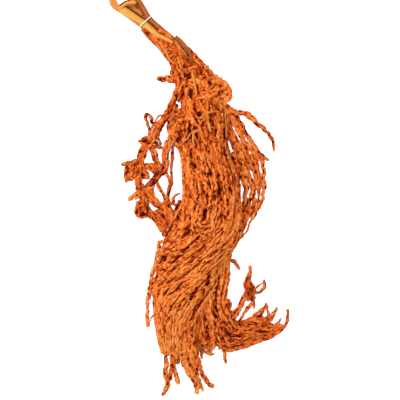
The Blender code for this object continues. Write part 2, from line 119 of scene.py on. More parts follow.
def tubeFaces(rings, sides):
    # point (i, k) has the number i x sides + k, and two poles follow the last ring
    i, k = np.meshgrid(np.arange(rings - 1), np.arange(sides), indexing="ij")
    n = (k + 1) % sides
    quads = np.stack([i * sides + k, i * sides + n, (i + 1) * sides + n, (i + 1) * sides + k], axis=-1)
    k = np.arange(sides)
    n = (k + 1) % sides
    last = (rings - 1) * sides
    root = np.stack([np.full(sides, rings * sides), n, k], axis=-1)
    tip = np.stack([np.full(sides, rings * sides + 1), last + k, last + n], axis=-1)
    return quads.reshape(-1, 4), np.vstack([root, tip])


def sweep(path, reach, sides, phase=0.0, flatness=1.0, slide=0.0):
    # point(i, k) = path(i) + reach(i, k) x (cos turn x side + flatness x sin turn x up) + slide x lean
    lean = unit(np.gradient(path, axis=0))
    side = unit(np.stack([-lean[:, 1], lean[:, 0], np.zeros(len(path))], axis=1))
    up = np.cross(lean, side)
    turn = phase + 2 * np.pi * np.arange(sides) / sides
    out = np.cos(turn)[None, :, None] * side[:, None] + flatness * np.sin(turn)[None, :, None] * up[:, None]
    rings = path[:, None] + reach[:, :, None] * out + np.asarray(slide)[..., None] * lean[:, None]
    poles = np.stack([path[0] - lean[0] * endLook["pole"] * reach[0].mean(),
                      path[-1] + lean[-1] * endLook["pole"] * reach[-1].mean()])
    return np.vstack([rings.reshape(-1, 3), poles])


def roundedEnds(travelled, radius):
    # sqrt(1 - (1 - distance / reach)²) near both ends, so that a tube closes nearly like a ball
    reach = endLook["reach"] * radius
    near = np.minimum(travelled, travelled[-1] - travelled)
    return np.maximum(np.sqrt(np.clip(1 - (1 - np.minimum(near / reach, 1.0)) ** 2, 0, 1)), endLook["least"])


tasselLook = {
    "fine": {"step": 1.75, "sides": 10},
    "plain": {"step": 2.3, "sides": 8},
    "hidden": {"step": 4.0, "sides": 7},
    "slimSides": 8,           # a tassel under the slim radius needs fewer sides
    "slimRadius": 3.1,
    "wobble": 0.20,           # how far the middle strays, in radii
    "wobbleLength": 6.0,      # each length is the way from one random height to the next
    "swell": 0.13,            # slow changes of thickness
    "swellLength": 13.0,
    "knot": 0.11,             # quick ones, as of seeds in whorls
    "knotLength": 4.2,
    "lump": 0.15,             # seed clusters
    "lumpSpread": (1, 1),     # how many neighbours on each side are blended, along and round the tassel
    "groove": 0.16,           # short streaks along the tassel
    "grooveSpread": (2, 0),
    "deepest": -0.5,          # the relief stays between these
    "highest": 0.42,
    "slide": 0.2,             # how far a point strays along the tassel, in steps
    "turned": 6.28,           # a ring starts anywhere in this turn
    "toneWave": 0.08,         # slow changes of tone
    "toneLength": 30.0,
    # the dashes are partly dark seed bits, partly painted shade in the deepest grooves
    "dashShade": 0.95,        # dark dashes between seed clusters, where the streaks are deepest
    "dashFrom": 0.80,
    "dashMost": 0.9,
    # painted shade: the flanks of a tassel, which face sideways or down, are painted darker than its top
    "edgeShade": 0.38,        # how much darker the flanks are than the top
    "edgeFrom": 0.15,
    "edgeTo": 0.85,
    "taper": 0.22,            # how much thinner the tip is
    "paleLength": 16.0,
}


def softened(noise, rows, columns):
    # each value becomes the mean of its neighbours with triangle weights, and the spread is brought back to 1
    for axis, reach in ((0, rows), (1, columns)):
        weights = [(shift, reach + 1 - abs(shift)) for shift in range(-reach, reach + 1)]
        noise = sum(weight * np.roll(noise, shift, axis=axis) for shift, weight in weights)
    return noise / max(noise.std(), 1e-6)


def tasselSurface(line, radius, draw, tone, detail="fine", pale=0.0, hollowShade=None, flatness=1.0):
    # reach = radius x ends x (1 + swell x slow + knot x quick) x (1 + lumps + streaks)
    # the radius goes over to the tip's with share²
    # tone = tone - hollow shade + slow - edge shade x flank - dash shade x deep streaks
    # the hollow shade and the edge shade are painted shade; the dashes are partly dark seed bits, partly
    # painted shade in the grooves
    look, size = tasselLook, tasselLook[detail]
    radius, tip = radius if isinstance(radius, tuple) else (radius, radius * (1 - look["taper"]))
    if hollowShade is None:
        hollowShade = np.zeros(len(line))
    path = evenSteps(np.column_stack([line, hollowShade * millimetre]), size["step"])
    path, hollowShadeAlong = path[:, :3].copy(), path[:, 3] / millimetre
    count, sides = len(path), look["slimSides"] if radius < look["slimRadius"] else size["sides"]
    length = travelledAlong(path)[-1]
    for axis in (0, 1):
        path[:, axis] += look["wobble"] * radius * waver(draw, count, length / look["wobbleLength"])
    travelled = travelledAlong(path)
    share = travelled / travelled[-1]
    width = 1 + look["swell"] * waver(draw, count, length / look["swellLength"])
    width = width + look["knot"] * waver(draw, count, length / look["knotLength"])
    body = (radius + (tip - radius) * share**2) * roundedEnds(travelled, min(radius, tip)) * width
    lumps = softened(draw.normal(0, 1, (count, sides)), *look["lumpSpread"])
    streaks = softened(draw.normal(0, 1, (count, sides)), *look["grooveSpread"])
    relief = look["lump"] * lumps + look["groove"] * streaks
    reach = body[:, None] * (1 + np.clip(relief, look["deepest"], look["highest"]))
    slide = draw.uniform(-look["slide"], look["slide"], (count, sides)) * size["step"]
    phase = draw.uniform(0, look["turned"])
    points = sweep(path, reach, sides, phase, flatness, slide)
    points[:, 2] = np.maximum(points[:, 2], floorGap)
    quads, tris = tubeFaces(count, sides)
    # painted shade on the flanks: flank is near 1 where the ring faces sideways or down
    upward = np.sin(phase + 2 * np.pi * np.arange(sides) / sides)
    flank = 1 - easing((upward - look["edgeFrom"]) / (look["edgeTo"] - look["edgeFrom"]))
    toneLine = tone - hollowShadeAlong + look["toneWave"] * waver(draw, count, length / look["toneLength"])
    # dashes: partly dark seed bits, partly painted shade in the grooves
    dashes = look["dashShade"] * np.clip(-streaks - look["dashFrom"], 0, look["dashMost"])
    tones = toneLine[:, None] - look["edgeShade"] * flank - dashes
    paleLine = pale * easing(1 - (travelled[-1] - travelled) / look["paleLength"])
    marks = {
        "relief": np.append(0.5 + relief.ravel(), [0.5, 0.5]),
        "tone": np.append(tones.ravel(), toneLine[[0, -1]]),
        "pale": np.append(np.repeat(paleLine, sides), paleLine[[0, -1]]),
    }
    return {"points": points, "quads": quads, "tris": tris, "marks": marks}


def meshPiece(name, surfaces, finish, nodes):
    # one mesh from several closed surfaces: their points one after another, and their faces renumbered
    starts = np.cumsum([0] + [len(s["points"]) for s in surfaces[:-1]])
    points = (np.vstack([s["points"] for s in surfaces]) + bunchShift) * millimetre
    points = np.clip(points, np.add(cadBox[0], boxMargin), np.subtract(cadBox[1], boxMargin))
    quads = np.vstack([s["quads"] + start for s, start in zip(surfaces, starts)])
    tris = np.vstack([s["tris"] + start for s, start in zip(surfaces, starts)])
    mesh = bpy.data.meshes.new(name)
    mesh.vertices.add(len(points))
    mesh.vertices.foreach_set("co", points.astype(np.float32).ravel())
    mesh.loops.add(quads.size + tris.size)
    mesh.loops.foreach_set("vertex_index", np.concatenate([quads.ravel(), tris.ravel()]).astype(np.int32))
    mesh.polygons.add(len(quads) + len(tris))
    loopStarts = np.concatenate([np.arange(len(quads)) * 4, quads.size + np.arange(len(tris)) * 3])
    mesh.polygons.foreach_set("loop_start", loopStarts.astype(np.int32))
    mesh.update(calc_edges=True)
    mesh.shade_smooth()
    for mark in surfaces[0]["marks"]:
        values = np.concatenate([s["marks"][mark] for s in surfaces]).astype(np.float32)
        kind, field = ("FLOAT_VECTOR", "vector") if values.ndim > 1 else ("FLOAT", "value")
        mesh.attributes.new(mark, kind, "POINT").data.foreach_set(field, values.ravel())
    mesh.materials.append(finish)
    piece = bpy.data.objects.new(name, mesh)
    bpy.context.scene.collection.objects.link(piece)
    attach(piece, "root")
    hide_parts(*nodes)
    print(f"{name}: {2 * len(quads) + len(tris)} triangles")


# finishes

def newFinish(name):
    # a material with its node tree and its main shader
    finish = bpy.data.materials.new(name)
    finish.use_nodes = True
    tree = finish.node_tree
    return finish, tree, tree.nodes["Principled BSDF"]


def addNode(tree, kind, **settings):
    # a node whose settings go to its sockets, or else to its own fields
    node = tree.nodes.new(kind)
    for key, value in settings.items():
        if key in node.inputs:
            node.inputs[key].default_value = value
        else:
            setattr(node, key, value)
    return node


def markOf(tree, name, output="Fac"):
    # a mark that the mesh carries at its points
    return addNode(tree, "ShaderNodeAttribute", attribute_name=name).outputs[output]


def noiseAt(tree, place, scale, detail):
    # noise read at a place
    texture = addNode(tree, "ShaderNodeTexNoise", Scale=scale, Detail=detail)
    tree.links.new(place, texture.inputs["Vector"])
    return texture.outputs["Fac"]


def sumOf(tree, shift, parts, weights):
    # shift + the sum of part x weight, as a chain of multiply-add nodes
    total = None
    for name, weight in weights.items():
        node = addNode(tree, "ShaderNodeMath", operation="MULTIPLY_ADD")
        tree.links.new(parts[name], node.inputs[0])
        node.inputs[1].default_value = weight
        if total is None:
            node.inputs[2].default_value = shift
        else:
            tree.links.new(total, node.inputs[2])
        total = node.outputs[0]
    return total


def rampFrom(tree, value, stops):
    # a colour for each share, mixed evenly between the stops
    ramp = addNode(tree, "ShaderNodeValToRGB")
    elements = ramp.color_ramp.elements
    while len(elements) < len(stops):
        elements.new(0.5)
    for element, (place, colour) in zip(elements, stops):
        element.position = place
        element.color = (*colour, 1.0)
    tree.links.new(value, ramp.inputs["Fac"])
    return ramp.outputs["Color"]


def mixOf(tree, share, under, over):
    # under x (1 - share) + over x share
    mix = addNode(tree, "ShaderNodeMix", data_type="RGBA")
    tree.links.new(share, mix.inputs["Factor"])
    tree.links.new(under, mix.inputs["A"])
    if isinstance(over, tuple):
        mix.inputs["B"].default_value = (*over, 1.0)
    else:
        tree.links.new(over, mix.inputs["B"])
    return mix.outputs["Result"]


def surfaceFrom(tree, shader, colour, height, paint, roughness):
    # colour, a bump that follows the height, and a low shine
    tree.links.new(colour, shader.inputs["Base Color"])
    bump = addNode(tree, "ShaderNodeBump", Strength=paint["bump"], Distance=paint["bumpDepth"])
    tree.links.new(height, bump.inputs["Height"])
    tree.links.new(bump.outputs["Normal"], shader.inputs["Normal"])
    shader.inputs["Roughness"].default_value = roughness
    shader.inputs["Specular IOR Level"].default_value = paint["shine"]


# each noise has its scale and its detail, and each weight says how much of a part goes into colour or bump
tasselPaint = {
    "stops": [
        (0.0, (0.040, 0.002, 0.0005)),
        (0.22, (0.18, 0.0105, 0.0015)),
        (0.45, (0.52, 0.075, 0.010)),
        (0.72, (0.74, 0.172, 0.025)),
        (1.0, (0.80, 0.300, 0.076)),
    ],
    "pale": (0.86, 0.42, 0.13),
    "patches": (130.0, 3.0),
    "fine": (520.0, 2.0),
    "granuleScale": 560.0,
    "shift": -0.41,
    # the relief weight paints shade in the pits of a tassel and highlights on its lumps
    "colourWeights": {"tone": 0.75, "relief": 0.62, "patches": 0.22, "fine": 0.42, "granules": -0.15},
    "bumpWeights": {"fine": 0.8, "granules": -0.9},
    "roughness": 0.85,
    "shine": 0.03,
    "bump": 0.5,
    "bumpDepth": 0.0006,
}


def tasselFinish():
    # colour = ramp(tone + relief + patches + fine noise - granules), mixed towards a pale tan at the tips
    # the tone carries painted shade, and the relief paints shade in the pits and highlights on the lumps
    finish, tree, shader = newFinish("tassels")
    paint = tasselPaint
    place = addNode(tree, "ShaderNodeTexCoord").outputs["Object"]
    granules = addNode(tree, "ShaderNodeTexVoronoi", Scale=paint["granuleScale"])
    tree.links.new(place, granules.inputs["Vector"])
    parts = {
        "tone": markOf(tree, "tone"),
        "relief": markOf(tree, "relief"),
        "patches": noiseAt(tree, place, *paint["patches"]),
        "fine": noiseAt(tree, place, *paint["fine"]),
        "granules": granules.outputs["Distance"],
    }
    colour = rampFrom(tree, sumOf(tree, paint["shift"], parts, paint["colourWeights"]), paint["stops"])
    colour = mixOf(tree, markOf(tree, "pale"), colour, paint["pale"])
    height = sumOf(tree, 0.0, parts, paint["bumpWeights"])
    surfaceFrom(tree, shader, colour, height, paint, paint["roughness"])
    return finish


stalkPaint = {
    "places": (0.12, 0.45, 0.85),  # where a stalk's dark, middle and light colours lie on the ramp
    "bark": ((0.14, 0.017, 0.003), (0.50, 0.130, 0.018), (0.62, 0.22, 0.040)),
    "grain": (900.0, 4.0),
    "streaks": (330.0, 2.0),
    "blotches": (70.0, 3.0),
    "shift": -0.80,
    "colourWeights": {"grain": 0.9, "streaks": 1.4, "blotches": 0.35, "relief": 0.42},
    "bumpWeights": {"grain": 0.7, "streaks": 0.6},
    "shine": 0.12,
    "bump": 0.45,
    "bumpDepth": 0.0006,
}


def stalkFinish(name, colours, roughness):
    # colour = ramp(grain + streaks + blotches + relief), mixed towards the bark's ramp by the bark share
    # grain and streaks are noise on the straightened stalk, pulled out lengthways
    # the relief part paints shade between the ribs and the shadow lines of the dark strips
    finish, tree, shader = newFinish(name)
    paint = stalkPaint
    spot = markOf(tree, "grainSpot", "Vector")
    parts = {
        "grain": noiseAt(tree, spot, *paint["grain"]),
        "streaks": noiseAt(tree, spot, *paint["streaks"]),
        "blotches": noiseAt(tree, addNode(tree, "ShaderNodeTexCoord").outputs["Object"], *paint["blotches"]),
        "relief": markOf(tree, "relief"),
    }
    value = sumOf(tree, paint["shift"], parts, paint["colourWeights"])
    wood, bark = (rampFrom(tree, value, list(zip(paint["places"], row))) for row in (colours, paint["bark"]))
    colour = mixOf(tree, markOf(tree, "bark"), wood, bark)
    surfaceFrom(tree, shader, colour, sumOf(tree, 0.0, parts, paint["bumpWeights"]), paint, roughness)
    return finish


tasselMaterial = tasselFinish()

# heads: a left and a right edge with a middle line, from the band to the tassel ends, and a section's heights

topHead = {
    "left": [(-119, 377), (-103, 351), (-78, 319), (-64, 286), (-57, 252), (-44, 218), (-68, 174), (-49, 132),
             (-45, 90), (-45, 50), (-60, 12), (-77, -24), (-87, -60), (-96, -104), (-99, -150), (-94, -200),
             (-85, -246)],
    "middle": [(-106, 377), (-80, 353), (-52, 326), (-30, 294), (-12, 258), (-12, 218), (-8, 178), (0, 138),
               (6, 98), (12, 57), (10, 17), (-4, -24), (-28, -66), (-48, -112), (-60, -160), (-62, -204),
               (-60, -250)],
    "right": [(-99, 384), (-66, 361), (-30, 337), (1, 308), (30, 276), (43, 234), (46, 188), (45, 146),
              (60, 104), (67.5, 64), (72, 22), (72, -19), (49, -60), (26, -112), (6, -160), (-12, -206),
              (-26, -252)],
    "low": [25, 25, 26, 27, 29, 30, 31, 31, 31, 31, 31, 31, 30, 29, 26, 19, 11],
    "high": [35, 39, 47, 51, 55, 59, 63, 64.5, 65.5, 65.5, 64.5, 63.5, 62, 59, 54, 44, 28],
    "edge": [30, 31, 32, 30, 25, 21, 19, 18, 18, 18, 20, 22, 19, 16, 15, 14, 13],
    "twist": (1.9, 0.62, 0.92),
}
underHead = {
    "left": [(-96, 364), (-74, 342), (-52, 312), (-38, 284), (-36, 250), (-44, 212), (-48, 172), (-44, 130),
             (-42, 90), (-42, 50), (-44, 12), (-48, -24), (-58, -60), (-74, -105), (-82, -150), (-84, -190),
             (-74, -236)],
    "middle": [(-94, 369), (-66, 346), (-38, 318), (-20, 290), (-8, 256), (-4, 218), (-2, 178), (0, 136),
               (4, 96), (6, 56), (8, 16), (6, -24), (-2, -62), (-11, -106), (-16, -150), (-12, -194),
               (-8, -240)],
    "right": [(-91, 374), (-58, 351), (-25, 325), (0, 296), (20, 262), (36, 224), (42, 184), (42, 142),
              (52, 102), (60, 60), (68, 18), (65, -20), (50, -64), (48, -108), (43.5, -150), (57, -184),
              (58, -238)],
    "low": [12, 8, 6, 5, 5, 4, 3, 1, 0, 0, 0, 1, 2, 3, 4, 4, 5],
    "high": [24, 25, 27, 30, 34, 38, 40, 41, 41, 41, 41, 40, 38, 34, 30, 24, 16],
    "edge": [18, 16, 15, 15, 15, 14, 14, 14, 14, 14, 14, 14, 14, 13, 12, 11, 10],
    "twist": (0.5, 0.6, 0.9),
}
tailSpray = {
    "left": [(-4, -198), (34, -242), (69, -240.5), (100, -229), (131, -217.5), (157, -198)],
    "middle": [(22, -172), (46, -210), (74, -209), (100, -202), (126, -202), (151, -194)],
    "right": [(46, -150), (60, -180), (78, -180), (98, -174), (122, -185), (148, -191)],
    "low": [5, 4, 3, 3, 3, 4],
    "high": [30, 25, 21, 18, 14, 9],
    "edge": [11, 10, 9, 8, 7, 6],
    "twist": (0.3, 0.0, 1.0),
}
guidePoints = 600     # how finely a guide line is read
sectionBoxiness = 0.8
droopPower = 3
leastHalf = 0.5       # a section isn't drawn in further than this
outlineTurns = 73     # where a section is read to space its tassels evenly
outlineInset = 4.0


def guidesOf(head):
    # each guide line read finely off the smooth curve through its stations
    guides = {"twist": head["twist"]}
    for name in ("left", "middle", "right", "low", "high", "edge"):
        line = np.asarray(head[name], float)
        guides[name] = smoothCurve(line.reshape(len(line), -1), guidePoints)
    return guides


def headPoints(guides, share, turn, inset):
    # spot = middle + across x half width + across² x bow
    # height = mid - droop x |across|³ + rise x half height
    place = np.clip(share, 0, 1) * (guidePoints - 1)
    marks = np.arange(guidePoints)

    def read(name):
        return np.stack([np.interp(place, marks, column) for column in guides[name].T], axis=-1)

    left, middle, right = read("left"), read("middle"), read("right")
    low, high, edge = read("low")[..., 0], read("high")[..., 0], read("edge")[..., 0]
    half = np.linalg.norm(right - left, axis=-1) / 2
    across = np.cos(turn) * np.maximum(half - inset, leastHalf) / half
    rise = np.sign(np.sin(turn)) * np.abs(np.sin(turn)) ** sectionBoxiness
    spot = middle + across[..., None] * (right - left) / 2
    spot = spot + across[..., None] ** 2 * ((left + right) / 2 - middle)
    droop = ((low + high) / 2 - edge) * np.abs(across) ** droopPower
    height = (low + high) / 2 - droop + rise * np.maximum((high - low) / 2 - inset, leastHalf)
    return np.concatenate([spot, height[..., None]], axis=-1)


def evenTurns(guides, share, first, last, count):
    # turns that lie evenly spaced by length round the section at that share
    turns = np.radians(np.linspace(first, last, outlineTurns))
    outline = headPoints(guides, np.full(len(turns), share), turns, outlineInset)
    travelled = travelledAlong(outline)
    return np.interp(np.linspace(0, travelled[-1], count), travelled, turns)


def twistAt(guides, share):
    # the twist grows from 0 to its whole amount, in radians, between the first and the last share
    amount, first, last = guides["twist"]
    return amount * easing((share - first) / (last - first))


# gaps between the tassels of the top head, where tassels are pushed aside, sunk and painted darker as shade:
# half width, and the two ends of the gap from above
hollows = [
    (4.0, -12, 291, -13, 286), (3.5, -30, 283, -30, 278), (3.5, -46, 284, -46, 275),
    (2.5, -38, 304, -38, 296), (3.0, -26, 253, -27, 236), (2.5, -40, 261, -41, 255),
    (3.0, -43, 248, -44, 240), (3.5, 22, 247, 26, 249), (3.5, 33, 246, 35, 242), (3.5, 21, 225, 25, 221),
    (4.5, -14, 209, -9, 205), (2.5, -4, 190, -5, 186), (3.0, -48, 175, -50, 158),
    (2.5, -12, 171, -3, 158), (2.5, 35, 179, 36, 164), (4.0, -26, 141, -24, 131),
    (4.5, -22, 114, -18, 109), (2.0, -31, 76, -31, 67), (2.2, 11, 105, 14, 94), (2.0, 45, 75, 45, 62),
    (2.5, 25, 45, 25, 42), (2.5, 33, 20, 31, 9), (2.4, -1, 62, 4, 48), (3.4, -1, 28, 0, 12),
    (1.6, -4, 1, 9, 4), (1.6, -7, -5, 9, -6), (4.5, -30, -1, -34, -15), (3.0, -54, -1, -53, -8),
    (3.0, -49, 20, -50, 9), (3.0, -62, 17, -62, 12), (2.5, -16, -11, -12, -27), (2.0, 29, -30, 23, -37),
    (2.0, 58, -17, 53, -32), (2.0, 45, -41, 39, -56), (3.0, -32, -40, -43, -48), (2.5, 0, -37, -11, -51),
    (2.5, -69, -29, -52, -35), (2.5, -74, -44, -54, -48), (3.9, -80, -60, -75, -63),
    (2.0, -35, 20, -38, 9), (2.0, 9, 121, 15, 113), (2.0, -11, 128, -6, 121), (2.5, 35, 138, 40, 130),
    (2.0, -23, 57, -23, 49), (2.0, 21, 63, 24, 53), (3.5, 7, -92, 5, -112), (2.2, -61, -69, -50, -69),
    (3.2, -56, -61, -44, -57), (2.0, -86, -86, -74, -83), (2.5, -70, -109, -54, -99),
    (2.3, -65, -131, -50, -117), (2.8, -77, -131, -70, -121), (2.2, -27, -141, -14, -122),
    (2.2, -51, -149, -38, -137), (2.0, -38, -119, -33, -115), (2.6, -15, -64, -10, -60),
    (2.0, -37, -84, -27, -79), (3.5, -3, -124, 0, -132), (3.2, -13, -155, -13, -161),
    (4.0, 2, -159, 2, -169), (2.6, 18, -170, 18, -184), (2.6, -13, -178, -14, -186),
    (2.2, -5, -187, -14, -211), (2.6, -25, -191, -25, -201), (2.8, -77, -190, -77, -201),
    (2.6, -84, -202, -84, -206), (2.6, -27, -225, -26, -235), (2.0, -38, -215, -38, -225),
    (2.2, -85, -149, -79, -166), (1.8, -65, -195, -62, -183), (2.2, -51, -177, -43, -170),
    (3.5, 12, -147, 14, -154), (2.8, 27, -137, 23, -166), (2.8, 32, -126, 35, -131),
    (2.2, 36, -155, 40, -162), (2.2, 27, -186, 26, -198),
]
hollowLook = {
    "push": 0.85,         # how far a tassel is pushed aside, in half widths
    "pushReach": 1.7,     # how far that is felt, in half widths
    "nearest": 0.8,       # a line nearer than this is pushed less
    "sink": 4.0,
    "sinkPerWidth": 0.9,
    "seenFrom": 28,       # only what lies higher than this is sunk
    # painted shade at the bottom of a hollow: a tassel is darker for each millimetre it is sunk
    "hollowShade": 0.062,     # how much darker it gets for each millimetre
}


def partedLine(line, share):
    # pushed aside by width x push x exp(-(distance / reach)²)
    # sunk by (sink + width x sink per width) x exp(-(distance / width)²)
    look = hollowLook
    gaps = np.asarray(hollows, float)
    width, first, last = gaps[:, 0], gaps[:, 1:3], gaps[:, 3:5]
    run = last - first
    offset = line[:, None, :2] - first
    along = np.clip((offset * run).sum(-1) / (run * run).sum(-1), 0, 1)
    away = offset - along[..., None] * run
    distance = np.linalg.norm(away, axis=-1)
    push = width * look["push"] * np.exp(-((distance / (look["pushReach"] * width)) ** 2)) * share
    sink = (look["sink"] + look["sinkPerWidth"] * width) * np.exp(-((distance / width) ** 2))
    moved = line.copy()
    moved[:, :2] += (away / np.maximum(distance, look["nearest"])[..., None] * push[..., None]).sum(1)
    depth = sink.max(1)
    moved[:, 2] -= depth * (line[:, 2] > look["seenFrom"])
    # painted shade: a sunk tassel comes back darker by its depth
    return moved, depth * look["hollowShade"]


lineLook = {
    "points": 90,
    "halfWidth": 55.0,     # makes a shift sideways into a turn round the head
    "slowSway": (3, 8),    # the knots are how many random heights lie on a whole head's length
    "slowKnots": 9,
    "middleSway": 2.6,
    "middleKnots": 24,
    "quickSway": 1.5,
    "quickKnots": 60,
    "lift": 2.2,
    "liftKnots": 18,
    "dive": 7.0,           # how deep an end goes, and over which share of the tassel
    "diveShare": 0.16,
    "leastInset": 1.15,    # in radii
}


def headLine(guides, turn, start, end, depth, radius, draw, freeTip):
    # turn(share) = turn + twist + slow, middle and quick sway
    # inset(share) = depth + lift + dive at the ends
    look, count = lineLook, lineLook["points"]
    share = np.linspace(start, end, count)
    along = (share - start) / (end - start)
    stretch = end - start
    sway = draw.uniform(*look["slowSway"]) * waver(draw, count, stretch * look["slowKnots"])
    sway = sway + look["middleSway"] * waver(draw, count, stretch * look["middleKnots"])
    sway = sway + look["quickSway"] * waver(draw, count, stretch * look["quickKnots"])
    lift = look["lift"] * waver(draw, count, stretch * look["liftKnots"])
    dive = look["dive"] * (1 - easing(along / look["diveShare"]))
    if not freeTip:
        dive = dive + look["dive"] * (1 - easing((1 - along) / look["diveShare"]))
    middle = (start + end) / 2
    turns = turn + twistAt(guides, share) - twistAt(guides, middle) + sway / look["halfWidth"]
    return headPoints(guides, share, turns, np.maximum(depth + lift + dive, look["leastInset"] * radius))


tierLook = {
    "endShift": 0.05,      # how far a tassel's ends are out of place, as a share of the head
    "sideShift": 0.4,      # and how far its side is, in gaps
    "sizes": (0.8, 1.2),
    "toneShift": 0.14,
    "pale": 0.5,
    "freeFrom": 0.99,      # tassels that end beyond this share hang free
}


def headTassels(head, tiers, seed, parted=False):
    # every tier: tassels side by side round the section, each a little out of place
    draw, look = np.random.default_rng(seed), tierLook
    guides = guidesOf(head)
    made = []
    for count, first, last, start, end, depth, radius, tone, detail in tiers:
        turns = evenTurns(guides, (start + end) / 2, first, last, count)
        for turn, gap in zip(turns, np.gradient(turns)):
            begins = max(start + either(draw, look["endShift"]), 0.0)
            ends = min(end + either(draw, look["endShift"]), 1.0)
            size = radius * draw.uniform(*look["sizes"])
            placed = turn + gap * either(draw, look["sideShift"])
            freeTip = end >= look["freeFrom"]
            line = headLine(guides, placed, begins, ends, depth + size, size, draw, freeTip)
            line, hollowShade = partedLine(line, 1.0) if parted else (line, np.zeros(len(line)))
            line[:, 2] = np.maximum(line[:, 2], size + floorGap)
            shade = tone + either(draw, look["toneShift"])
            pale = draw.uniform(0, look["pale"])
            made.append(tasselSurface(line, size, draw, shade, detail, pale, hollowShade))
    return made


laidLook = {
    "shares": 220,      # the grid of the top head that strands are laid on
    "turns": 61,
    "overhang": 0.3,    # how far it goes down both sides, in radians
    "dive": 5.0,        # how deep both ends of a strand go, and over which length
    "diveLength": 9.0,
    "stemDiveLength": 4.0,
    "strandPoints": 16,  # for each point of a route
    "stemPoints": 5,
}


def upperSide(guides):
    # the points of the upper half of a head, over its whole length
    look = laidLook
    turns = np.linspace(-look["overhang"], np.pi + look["overhang"], look["turns"])
    share, turn = np.meshgrid(np.linspace(0, 1, look["shares"]), turns, indexing="ij")
    return headPoints(guides, share.ravel(), turn.ravel(), np.zeros(share.size))


topGuides = guidesOf(topHead)
topGrid = upperSide(topGuides)


def laidOnTop(spots, radius, lift, diveLength):
    # height = that of the top head at its nearest point - radius + lift - dive at both ends
    distance = np.linalg.norm(spots[:, None] - topGrid[None, :, :2], axis=-1)
    nearest = distance.argmin(axis=1)
    travelled = travelledAlong(spots)
    near = np.minimum(travelled, travelled[-1] - travelled)
    height = topGrid[nearest, 2] - radius + lift - laidLook["dive"] * (1 - easing(near / diveLength))
    return np.column_stack([spots, height]), distance.min(axis=1)


# curls: how many, first and last share, first and last turn in degrees, lengths, sharpest bend, radii,
# lifts and tone
curlTiers = [
    (46, 0.10, 0.42, 10, 170, (22, 52), 0.085, (2.4, 3.6), (-1.5, 0.8), 0.45),
    (20, 0.16, 0.40, 15, 165, (18, 34), 0.13, (2.2, 3.0), (0.0, 1.2), 0.53),
    (14, 0.38, 0.60, 10, 170, (24, 48), 0.06, (2.4, 3.2), (-1.0, 0.8), 0.56),
    (16, 0.02, 0.14, 15, 165, (18, 40), 0.04, (2.2, 3.2), (-1.0, 0.4), 0.48),
]


curlLook = {
    "inset": 4.0,
    "step": 1.0,
    "neckFlow": -1.1,      # which way curls run, in radians, above and below the neck's end
    "flow": -1.5,
    "neckEnd": 0.3,
    "startTurn": 1.5,
    "waver": 0.5,
    "waverSteps": 9,
    "toneShift": 0.2,
    "pale": 0.3,
    "offHead": 2.5,        # a curl that strays further than this off the head is left out
    "parting": 0.6,
}


def curlTassels(seed):
    # spot(s) = start + the running sum of (cos, sin) of heading + bend x s + waver, laid on the top head
    draw, look = np.random.default_rng(seed), curlLook
    made = []
    for count, first, last, low, high, lengths, bend, radii, lifts, tone in curlTiers:
        for _ in range(count):
            share, turn = draw.uniform(first, last), np.radians(draw.uniform(low, high))
            inset = np.array([look["inset"]])
            start = headPoints(topGuides, np.array([share]), np.array([turn]), inset)[0, :2]
            travel = np.arange(0.0, draw.uniform(*lengths), look["step"])
            flow = look["neckFlow"] if share < look["neckEnd"] else look["flow"]
            heading = flow + either(draw, look["startTurn"]) + either(draw, bend) * travel
            heading = heading + look["waver"] * waver(draw, len(travel), len(travel) / look["waverSteps"])
            spots = start + np.cumsum(np.stack([np.cos(heading), np.sin(heading)], axis=1), axis=0)
            radius = draw.uniform(*radii)
            line, distance = laidOnTop(spots, radius, draw.uniform(*lifts), laidLook["diveLength"])
            shade = tone + either(draw, look["toneShift"])
            if distance.max() < look["offHead"]:
                line, hollowShade = partedLine(line, look["parting"])
                pale = draw.uniform(0, look["pale"])
                made.append(tasselSurface(line, radius, draw, shade, "fine", pale, hollowShade))
    return made


